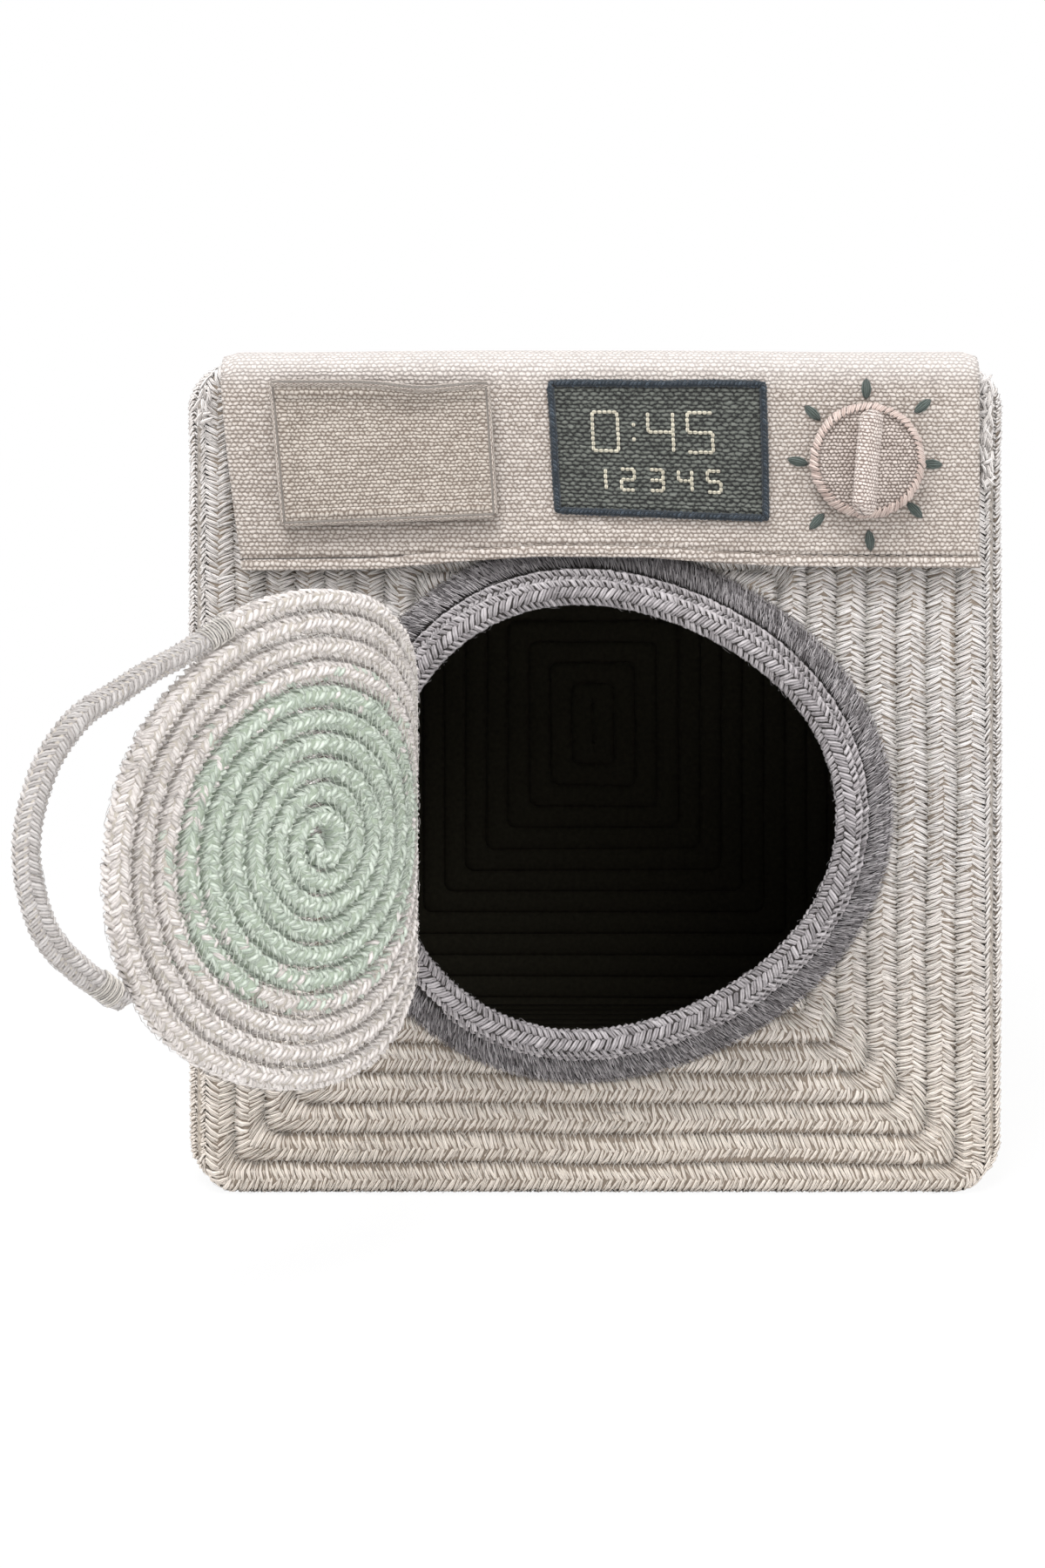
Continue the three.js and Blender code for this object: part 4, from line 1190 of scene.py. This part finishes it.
# A sheet as a grid of points with UV in millimetres, given its thickness afterwards
def addSheet(name, grid, uv, look, thickness, rim=None):
    rows, columns = grid.shape[:2]
    faces = []
    for r in range(rows - 1):
        for c in range(columns - 1):
            here, above = r * columns + c, (r + 1) * columns + c
            faces.append((here, here + 1, above + 1, above))
    made = addMesh(name, grid.reshape(-1, 3), faces, [look, rim or look], uv.reshape(-1, 2))
    startAlone(made)
    solid = made.modifiers.new("thickness", "SOLIDIFY")
    solid.thickness = thickness * mm
    solid.offset = 0.0
    solid.use_even_offset = True
    solid.material_offset_rim = 1
    bpy.ops.object.modifier_apply(modifier=solid.name)
    return made


# Control flap: sewn along the top, over the front edge and down
flap = {
    "left": -140.2, "right": 143.8, "topZ": 318.3, "backY": -111, "out": 3.3, "bend": 9.5,
    "thickness": 1.7, "width": 284, "slantIn": 8.0, "cornerDrop": 1.6, "hemLine": 4.2,
    "seamDepth": 2.4, "seamWidth": 0.85, "foldDepth": 1.1, "hemX": [-140, -80, -45, -20, 20, 40, 70, 145],
    "hemZ": [235.6, 236.4, 239.6, 241.0, 240.6, 239.0, 237.4, 236.8],
}


def flapHemZ(x):
    return np.interp(x, flap["hemX"], flap["hemZ"])


# How far the flap's front stands out of the front plane at a place on it
def flapFace(x, z):
    share = np.clip((flap["topZ"] - flap["bend"] - z) / (flap["topZ"] - flap["bend"] - flapHemZ(x)), 0, 1.1)
    press = np.exp(-((x - 4) / 48) ** 2) * smooth((share - 0.55) / 0.45) * 4.2
    ripple = (waves(x, z, 1.3, 16, 3) + 0.35) * (0.25 + 0.75 * share)
    return flap["out"] + flap["thickness"] / 2 + np.maximum(press + ripple, -1.0)


def makeFlap():
    columns, topRows, bendRows, frontRows = 112, 16, 7, 96
    across = np.linspace(0, 1, columns)
    grid, uv = [], []
    frontY = frontPlane - flap["out"]
    edgeY = frontY + flap["bend"]
    bendZ = flap["topZ"] - flap["bend"]
    steps = [("top", k / topRows) for k in range(topRows)]
    steps += [("bend", k / bendRows) for k in range(bendRows)]
    steps += [("front", k / frontRows) for k in range(frontRows + 1)]
    for kind, share in steps:
        left = flap["left"] + (flap["slantIn"] * share ** 1.3 if kind == "front" else 0)
        x = left + (flap["right"] - left) * across
        drop = flap["cornerDrop"] * smooth((np.abs(x - 2) - 136) / 6)
        if kind == "front":
            zs = (bendZ - drop) * (1 - share) + flapHemZ(x) * share
            aboveHem = zs - flapHemZ(x)
            seam = flap["seamDepth"] * np.exp(-((aboveHem - flap["hemLine"]) / flap["seamWidth"]) ** 2)
            fold = flap["foldDepth"] * smooth((flap["hemLine"] + 0.4 - aboveHem) / 1.2)
            ys = frontPlane - flapFace(x, zs) + flap["thickness"] / 2 + seam * 0.8 - fold
            runs = flap["backY"] - edgeY + flap["bend"] * math.pi / 2 + (bendZ - zs)
        else:
            turn = share * math.pi / 2
            y, z = flap["backY"] + (edgeY - flap["backY"]) * share, flap["topZ"]
            run = flap["backY"] - y
            if kind == "bend":
                y = edgeY - flap["bend"] * math.sin(turn)
                z = flap["topZ"] - flap["bend"] * (1 - math.cos(turn))
                run = flap["backY"] - edgeY + share * flap["bend"] * math.pi / 2
            ys, runs = np.full(columns, y), np.full(columns, run)
            zs = z + waves(x, ys, 0.7, 20, 5) - drop - 1.5 * smooth(1 - (y - flap["backY"]) / -8)
        grid.append(np.stack([x, ys, zs], -1))
        uv.append(np.stack([across * flap["width"], -runs], -1))
    made = addSheet("flap_cloth", np.array(grid), np.array(uv), flapWeave, flap["thickness"], rim=clothEdge)
    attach(made, "body")
    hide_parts("control_flap", "flap_hem")
    return made


flapPiece = makeFlap()
print("flap hung")


# Untidy rope ends stand out beside the flap's upper corners
def looseEnds(name, left, right, low, high, count):
    bundle = Bundle()
    shape = yarnStrand["corners"]
    for _ in range(count):
        x, z = rng.uniform(left, right), rng.uniform(low, high)
        turn = math.pi / 2 + rng.normal(0, 0.6)
        along = shape[:, 0] * rng.uniform(2.2, 3.8)
        side = shape[:, 1] * 0.65
        out = rng.uniform(-2.4, 0.6) + 0.6 * shape[:, 2] - 1.1 * shape[:, 0] ** 2
        corners = np.stack([
            x + along * math.cos(turn) - side * math.sin(turn), frontPlane - out,
            z + along * math.sin(turn) + side * math.cos(turn),
        ], -1)
        bundle.strand(yarnStrand, corners, along, 90, 0.35)
    made = bundle.make(name, [creamYarn])
    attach(made, "body")


looseEnds("right_rope_ends", 144.5, 149.5, 268, 308, 80)
looseEnds("left_rope_ends", -150.5, -145, 290, 303, 14)


# A place inside four corners, p across and q down
def withinCorners(four, p, q):
    a, b, c, d = [np.array(corner) for corner in four]
    p, q = np.asarray(p)[..., None], np.asarray(q)[..., None]
    return (a * (1 - p) + b * p) * (1 - q) + (d * (1 - p) + c * p) * q


# Pocket: a sheet that stands off the flap, open at its top
pocket = {
    "corners": [(-120.0, 305.6), (-40.6, 305.2), (-37.6, 256.6), (-115.6, 253.4)], "thickness": 1.9,
    "wide": 80, "high": 50, "rollThickness": 3.0, "foldThickness": 2.3,
}


def makePocket():
    columns, rows = 90, 60
    p = np.linspace(0, 1, columns + 1)
    grid, uv = [], []
    for r in range(rows + 1):
        q = r / rows
        place = withinCorners(pocket["corners"], p, q)
        edge = np.minimum(np.minimum(p, 1 - p) * pocket["wide"], (1 - q) * pocket["high"])
        stand = smooth(edge / 4.5)
        gape = 1 - smooth(q / 0.35)
        belly = 1.6 * np.sin(math.pi * p) ** 0.7 * (0.4 + 0.6 * gape)
        fold = 1.3 * (1 - smooth((edge - 3.2) / 0.9)) + 1.1 * (1 - smooth((q * pocket["high"] - 4.4) / 0.9))
        hollow = 1.7 * np.exp(-((p - 0.62) / 0.16) ** 2 - ((q - 0.2) / 0.1) ** 2)
        out = flapFace(place[:, 0], place[:, 1]) + 2.0 + fold + stand * (1.3 + 0.9 * gape) + belly - hollow
        out = out + waves(place[:, 0], place[:, 1], 0.7, 9, 21) * stand
        sag = 1.9 * np.exp(-((p - 0.7) / 0.17) ** 2) * (1 - smooth(q / 0.12))
        grid.append(np.stack([place[:, 0], frontPlane - out, place[:, 1] - sag], -1))
        uv.append(np.stack([p * pocket["wide"], np.full(len(p), -q * (pocket["high"] + 1))], -1))
    grid = np.array(grid)
    made = addSheet("pocket_cloth", grid, np.array(uv), pocketWeave, pocket["thickness"], rim=clothEdge)
    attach(made, "body")
    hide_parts("detergent_pocket")
    # its top is rolled, its other borders are folded round; all are in a lighter weave, a painted highlight
    # along the edges
    bundle = Bundle()
    top, left, foot, right = grid[0], grid[1:, 0], grid[-1], grid[:0:-1, -1]
    borders = [(top + [0, -0.6, -0.4], pocket["rollThickness"], 10)]
    for line in (left + [-0.3, -0.5, 0], foot + [0, -0.5, -0.3], right + [0.3, -0.5, 0]):
        borders.append((line, pocket["foldThickness"], 8))
    for line, thickness, sides in borders:
        threadOn(bundle, line, np.tile([0.0, -1.0, 0.0], (len(line), 1)), thickness, 1, sides)
    rolled = bundle.make("pocket_roll", [pocketWeave, pocketFoldHighlight])
    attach(rolled, "body")
    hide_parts("pocket_hem")
    return made, rolled


pocketPiece, pocketRoll = makePocket()
print("pocket sewn")

# Display patch: dark coarse cloth with a cord round it and plain stitched numbers
patch = {
    "corners": [(-16.8, 305.6), (62.6, 305.6), (63.6, 255.4), (-13.9, 258.2)], "out": 0.8,
    "thickness": 1.1, "wide": 80, "high": 50,
}
cordRope = {
    "radius": 1.65, "spacing": 1.5, "columns": 4, "rise": 1.0, "overrun": 0.25, "fill": 1.1,
    "thick": 0.4, "dip": 0.3, "loose": 0.2, "roll": 0,
}
cordLook = yarnLook("darkCordYarn", tone(62, 73, 84), tone(26, 33, 40), fibre=0.6, spread=0.8)
paleThread = yarnLook("paleNumberThread", tone(214, 208, 190), tone(160, 154, 138), fibre=0.5)
tickYarn = yarnLook("tickStitchYarn", tone(92, 102, 98), tone(42, 50, 46), fibre=0.8, spread=0.3)


def patchPlace(p, q, out):
    place = withinCorners(patch["corners"], p, q)
    face = flapFace(place[..., 0], place[..., 1])
    return np.stack([place[..., 0], frontPlane - face - out, place[..., 1]], -1)


def makePatch():
    columns, rows = 60, 40
    p, q = np.meshgrid(np.linspace(0.015, 0.985, columns), np.linspace(0.02, 0.98, rows))
    wide, high = patch["wide"], patch["high"]
    ripple = waves(p * wide, q * high, 0.5, 12, 8)
    grid = patchPlace(p, q, patch["out"] + ripple)
    uv = np.stack([p * wide, -q * high], -1)
    made = addSheet("patch_cloth", grid, uv, darkWeave, patch["thickness"])
    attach(made, "body")
    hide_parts("display_patch")
    bundle = Bundle()
    share = np.linspace(0, 1, 40, endpoint=False)
    zero, one = 0 * share, 0 * share + 1
    p, q = np.concatenate([share, one, 1 - share, zero]), np.concatenate([zero, share, one, 1 - share])
    line = patchPlace(p, q, 1.5)
    line[:, 0] += waves(p * wide, q * high, 0.35, 5, 4)
    line[:, 2] += waves(p * wide, q * high, 0.35, 5, 6)
    path = makePath(line, np.tile([0.0, -1.0, 0.0], (len(line), 1)), looped=True)
    ropeOnPath(bundle, path, cordRope, plainStrand, sink=0.35, step=2.0)
    cord = bundle.make("patch_cord", [cordLook, cordLook])
    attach(cord, "body")
    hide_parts("display_cord")
    return made, cord


patchPiece, patchCord = makePatch()


# Stitches along strokes, each a short raised thread
def sewStrokes(bundle, strokes, placeAt, step, thread):
    for start, end in strokes:
        start, end = np.array(start, float), np.array(end, float)
        length = np.linalg.norm(end - start)
        count = max(1, round(length / step))
        for k in range(count):
            middle = start + (end - start) * (k + 0.5) / count
            half = (end - start) / count / 2 * 1.12
            shape = plainStrand["corners"]
            side = np.array([-half[1], half[0]]) / (np.linalg.norm(half) or 1)
            spot = middle + shape[:, :1] * half + shape[:, 1:2] * side * thread / 2
            spot = spot + rng.normal(0, 0.05, 2)
            lift = thread * 0.35 * shape[:, 2] - thread * 0.35 * shape[:, 0] ** 2
            corners = placeAt(spot[:, 0], spot[:, 1], lift)
            bundle.strand(plainStrand, corners, shape[:, 0] * step, 50, 0.3)


digitStrokes = {"0": "abcdef", "1": "bc", "2": "abdeg", "3": "abcdg", "4": "bcfg", "5": "acdfg"}
segments = {
    "a": ((0, 1), (1, 1)), "b": ((1, 1), (1, 0.5)), "c": ((1, 0.5), (1, 0)), "d": ((1, 0), (0, 0)),
    "e": ((0, 0), (0, 0.5)), "f": ((0, 0.5), (0, 1)), "g": ((0, 0.5), (1, 0.5)),
}


# places on the patch are in millimetres from its lower left corner
numbers = {
    "clock": {"z": 24, "wide": 9.5, "high": 15}, "row": {"z": 9, "wide": 5, "high": 8},
    "colon": [((30.5, 35), (30.5, 33.4)), ((30.5, 29.4), (30.5, 27.8))], "rowX": 14, "rowPitch": 11,
}


def makeNumbers():
    strokes = []

    def digit(character, x, size):
        for letter in digitStrokes[character]:
            (x0, z0), (x1, z1) = segments[letter]
            start = (x + x0 * size["wide"], size["z"] + z0 * size["high"])
            strokes.append((start, (x + x1 * size["wide"], size["z"] + z1 * size["high"])))
    digit("0", 15, numbers["clock"])
    strokes += numbers["colon"]
    digit("4", 36, numbers["clock"])
    digit("5", 51, numbers["clock"])
    for k in range(5):
        digit(str(k + 1), numbers["rowX"] + k * numbers["rowPitch"], numbers["row"])
    bundle = Bundle()

    def placeAt(x, z, lift):
        return patchPlace(x / patch["wide"], 1 - z / patch["high"], patch["out"] + 0.75 + lift)
    sewStrokes(bundle, strokes, placeAt, 1.9, 1.5)
    made = bundle.make("patch_numbers", [paleThread])
    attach(made, "body")


makeNumbers()
print("patch sewn")

# Dial: padded cloth disc, yarn over its edge, stuffed ridge across it, stitches round it
dial = {
    "x": 101, "z": 276.6, "radius": 20.6, "back": 8.0, "front": 11.6, "gripHalf": 19.8, "gripWidth": 8.4,
    "gripHeight": 6.8, "gripDrop": 0.9, "tiltDegrees": 5,
}


def onDial(x, out, z):
    return np.stack([dial["x"] + x, frontPlane - out, dial["z"] + z], -1)


# A body turned about the dial's axis from (radius, out) pairs, both ends closed
def roundGrid(profile, steps):
    corners, faces = [], []
    rings = [pair for pair in profile if pair[0] > 0]
    for radius, out in rings:
        for k in range(steps):
            angle = k / steps * 2 * math.pi
            corners.append((radius * math.cos(angle), out, radius * math.sin(angle)))
    for r in range(len(rings) - 1):
        for k in range(steps):
            j = (k + 1) % steps
            faces.append((r * steps + k, r * steps + j, (r + 1) * steps + j, (r + 1) * steps + k))
    corners.append((0, profile[0][1], 0))
    corners.append((0, profile[-1][1], 0))
    for k in range(steps):
        j = (k + 1) % steps
        faces.append((len(corners) - 2, j, k))
        faces.append((len(corners) - 1, (len(rings) - 1) * steps + k, (len(rings) - 1) * steps + j))
    return np.array(corners, float), faces


def makeDial():
    radius, back, front = dial["radius"], dial["back"], dial["front"]
    profile = [(0, back), (8, back), (radius - 1.5, back), (radius - 0.3, back + 0.7), (radius, back + 1.7),
               (radius - 0.4, front - 0.7), (radius - 1.5, front), (radius - 3.0, front + 0.1)]
    for share in (0.8, 0.68, 0.55, 0.42, 0.3, 0.18, 0.08):
        profile.append((radius * share, front + 0.9 * (1 - share ** 2)))
    profile.append((0, front + 0.9))
    corners, faces = roundGrid(profile, 96)
    uv = corners[:, [0, 2]].copy()
    reach = np.hypot(corners[:, 0], corners[:, 2])
    angle = np.arctan2(corners[:, 2], corners[:, 0])
    corners[:, 1] += waves(corners[:, 0], corners[:, 2], 0.5, 6, 31) * (corners[:, 1] > 9.5)
    corners[:, 1] += 0.25 * np.sin(angle * 16) * smooth((reach - 13) / 6) * (corners[:, 1] > 9.5)
    face = addMesh("dial_pad", onDial(*corners.T), faces, dialWeave, uv)
    faceOutwards(face)
    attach(face, "dial")
    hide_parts("dial_face")
    # yarn wrapped over the rim
    bundle = Bundle()
    total = 66
    shape = fineStrand["corners"]
    for k in range(total):
        angle = (k + rng.uniform(-0.2, 0.2)) / total * 2 * math.pi
        across = angle + shape[:, 0] * 0.1 + shape[:, 1] * 1.1 / radius
        bow = shape[:, 0] * 1.65
        lift = 0.8 * shape[:, 2] + rng.uniform(-0.3, 0.3)
        reach = radius - 2.7 + (3.0 + lift) * np.cos(bow)
        out = (back + front) / 2 + 0.2 + (2.5 + lift) * np.sin(bow)
        corners = onDial(reach * np.cos(across), out, reach * np.sin(across))
        bundle.strand(fineStrand, corners, shape[:, 0] * 3, 50, 0.35)
    edge = bundle.make("dial_overcast", [dialYarn])
    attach(edge, "dial")
    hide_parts("dial_edge")
    # the ridge: cloth drawn up over a filling, in the lighter weave painted as a lit face
    columns, rows = 44, 15
    grid = []
    for r in range(rows):
        rise = r / (rows - 1)
        ring = []
        for k in range(columns):
            angle = k / columns * 2 * math.pi
            swell = math.sqrt(max(0.0, 1 - (rise * 0.97) ** 2.6))
            half = dial["gripWidth"] / 2 * swell
            if r == rows - 1:
                half = 0.25
            x = math.cos(angle) * half
            straight = (dial["gripHalf"] - dial["gripWidth"] / 2) * (1 - 0.04 * rise)
            z = np.sign(math.sin(angle)) * straight + math.sin(angle) * half
            if abs(math.sin(angle)) < 1e-9:
                z = 0
            ring.append((x, dial["front"] + 0.2 + rise * dial["gripHeight"], z))
        grid.append(ring)
    grid = np.array(grid)
    grid[..., 1] += waves(grid[..., 0] * 2, grid[..., 2], 0.35, 5, 12) * np.linspace(0.2, 1, rows)[:, None]
    grid[..., 0] += waves(grid[..., 1] * 2, grid[..., 2], 0.5, 4, 17)
    grid[..., 0] -= 3.3 * np.linspace(0, 1, rows)[:, None] ** 1.3
    tilt = -math.radians(dial["tiltDegrees"])
    x = grid[..., 0] * math.cos(tilt) - grid[..., 2] * math.sin(tilt)
    z = grid[..., 0] * math.sin(tilt) + grid[..., 2] * math.cos(tilt)
    z -= dial["gripDrop"]
    corners = onDial(x, grid[..., 1], z).reshape(-1, 3)
    faces = [list(face) for face in tubeFaces(rows, columns)]
    turned = np.cos(np.arange(columns) / columns * 2 * math.pi)
    steps = np.hypot(np.diff(grid[:, 0, 0]), np.diff(grid[:, 0, 1]))
    away = np.concatenate([np.cumsum(steps[::-1])[::-1], [0.0]])
    aside = away[:, None] * np.where(turned > 0, 1, -1)[None]
    uv = np.stack([aside, grid[..., 2]], -1).reshape(-1, 2)
    grip = addMesh("dial_ridge", corners, faces, ridgeLitWeave, uv)
    faceOutwards(grip)
    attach(grip, "dial")
    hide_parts("dial_grip")
    return face, grip


dialYarn = yarnLook("dialEdgeYarn", tone(214, 197, 189), tone(164, 143, 135), fibre=0.8)
dialPiece, gripPiece = makeDial()

ticks = {
    "places": [(1, 84), (66, 64), (77, -3), (57, -56), (5, -91), (-56, -69), (-78, 0), (-61, 56)],
    "scale": 0.324, "length": 9.2,
}


def makeTicks():
    for k, (right, up) in enumerate(ticks["places"]):
        middle = np.array([dial["x"] + right * ticks["scale"], dial["z"] + up * ticks["scale"]])
        angle = math.atan2(up, right) + rng.normal(0, 0.08)
        along = np.array([math.cos(angle), math.sin(angle)])
        side = np.array([-along[1], along[0]])
        bundle = Bundle()
        for strandPlace in (-1.35, -0.45, 0.45, 1.35):
            shape = fineStrand["corners"]
            half = ticks["length"] / 2 * (1 - 0.16 * abs(strandPlace))
            across = strandPlace * (1 - 0.6 * shape[:, 0] ** 2) + shape[:, 1] * 0.62
            spot = middle + shape[:, :1] * half * along + across[:, None] * side
            out = flapFace(spot[:, 0], spot[:, 1]) + 0.15 + 0.5 * shape[:, 2]
            out = out + (1 - abs(strandPlace) * 0.3) * (1 - shape[:, 0] ** 2) * 0.8
            corners = np.stack([spot[:, 0], frontPlane - out, spot[:, 1]], -1)
            bundle.strand(fineStrand, corners, shape[:, 0] * 4, 50, 0.3)
        made = bundle.make(f"tick_yarn_{k + 1}", [tickYarn])
        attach(made, "body")
        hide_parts(f"tick_stitch_{k + 1}")


makeTicks()
print("dial made")


# The metal press stud behind the dial and the hinge threads keep their CAD shape
def dress(names, look):
    for name in names:
        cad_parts[name].data.materials.clear()
        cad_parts[name].data.materials.append(look.material)


metal = Recipe("platedStud", roughness=0.32)
metal.shader.inputs["Metallic"].default_value = 1.0
scuff = metal.noise(metal.objectPlace(), 900.0, 3.0)
metal.paint(metal.mix(scuff, tone(150, 150, 154), tone(205, 205, 208)))
dress(["dial_stud", "dial_socket"], metal)
threadPlain = Recipe("hingeThread", sheen=0.2)
ply = threadPlain.noise(threadPlain.objectPlace(), 1500.0, 2.0)
threadPlain.paint(threadPlain.mix(ply, tone(196, 188, 176), tone(236, 231, 222)))
threadPlain.raiseBy(ply, 0.6, 0.2)
dress([f"hinge_stitch_{k + 1}" for k in range(5)], threadPlain)

# Running stitches along the flap's hem
hem = {"first": -46.0, "last": 141, "stitch": 2.6, "pitch": 3.9, "thread": 0.8}
bundle = Bundle()
hemStrokes = []
position = hem["first"]
while position < hem["last"]:
    hemStrokes.append(((position, 0), (position + hem["stitch"], 0)))
    position += hem["pitch"]


def hemPlace(x, z, lift):
    base = flapHemZ(x) + flap["hemLine"] + z
    return np.stack([x, frontPlane - flapFace(x, base) - lift, base], -1)


sewStrokes(bundle, hemStrokes, hemPlace, hem["stitch"], hem["thread"])
# the hem thread is darker than the flap: painted shade of the puckered stitches
hemShadeYarn = yarnLook("hemShadedSewingThread", tone(172, 160, 150), tone(122, 110, 101), fibre=0.3, ply=0.3)
hemThread = bundle.make("flap_hem_stitches", [hemShadeYarn])
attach(hemThread, "body")
print("hem stitched")

# Floor, white surroundings and soft lamps
stage = {"floorSize": 8, "worldStrength": 0.68, "topPower": 30, "frontPower": 8.5, "sidePower": 15}
startAlone()
bpy.ops.mesh.primitive_plane_add(size=stage["floorSize"], location=(0, 0, 0))
floor = bpy.context.object
floor.name = "floor"
floorLook = Recipe("whiteFloor")
floorLook.shader.inputs["Base Color"].default_value = (0.9, 0.9, 0.9, 1)
glow = floorLook.nodes.new("ShaderNodeEmission")
glow.inputs["Color"].default_value = (1, 1, 1, 1)
apart = floorLook.add("VectorMath", {"operation": "LENGTH"}, {0: floorLook.objectPlace()}, "Value")
fade = (apart * 1.1).math("MINIMUM", 1.0)
seen = floorLook.add("LightPath", {}, {}, "Is Camera Ray") * (fade * 0.1 + 0.9)
blend = floorLook.nodes.new("ShaderNodeMixShader")
floorLook.links.new(seen.socket, blend.inputs[0])
floorLook.links.new(floorLook.shader.outputs[0], blend.inputs[1])
floorLook.links.new(glow.outputs[0], blend.inputs[2])
floorEnd = next(node for node in floorLook.nodes if node.type == "OUTPUT_MATERIAL")
floorLook.links.new(blend.outputs[0], floorEnd.inputs[0])
floor.data.materials.append(floorLook.material)

world = bpy.data.worlds.new("surroundings")
scene.world = world
world.use_nodes = True
worldNodes, worldLinks = world.node_tree.nodes, world.node_tree.links
background = worldNodes["Background"]
background.inputs["Color"].default_value = (1, 1, 1, 1)
path = worldNodes.new("ShaderNodeLightPath")
widest = worldNodes.new("ShaderNodeMath")
widest.operation = "MAXIMUM"
worldLinks.new(path.outputs["Is Camera Ray"], widest.inputs[0])
worldLinks.new(path.outputs["Is Glossy Ray"], widest.inputs[1])
spread = worldNodes.new("ShaderNodeMapRange")
worldLinks.new(widest.outputs[0], spread.inputs[0])
spread.inputs["To Min"].default_value = stage["worldStrength"]
spread.inputs["To Max"].default_value = 1.0
worldLinks.new(spread.outputs[0], background.inputs["Strength"])


def addLamp(name, place, target, size, power):
    data = bpy.data.lights.new(name, "AREA")
    data.shape = "SQUARE"
    data.size = size
    data.energy = power
    lamp = bpy.data.objects.new(name, data)
    lamp.location = place
    lamp.rotation_euler = (Vector(target) - Vector(place)).to_track_quat("-Z", "Y").to_euler()
    scene.collection.objects.link(lamp)


addLamp("topLamp", (-0.3, -1.0, 1.8), (0, -0.1, 0.15), 0.8, stage["topPower"])
addLamp("frontLamp", (0.5, -1.9, 1.0), (0, 0, 0.15), 1.0, stage["frontPower"])
addLamp("leftLamp", (-2.2, -0.6, 0.8), (0, 0, 0.15), 1.2, stage["sidePower"])
addLamp("rightLamp", (2.2, -0.6, 0.8), (0, 0, 0.15), 1.2, stage["sidePower"])
print("stage lit")
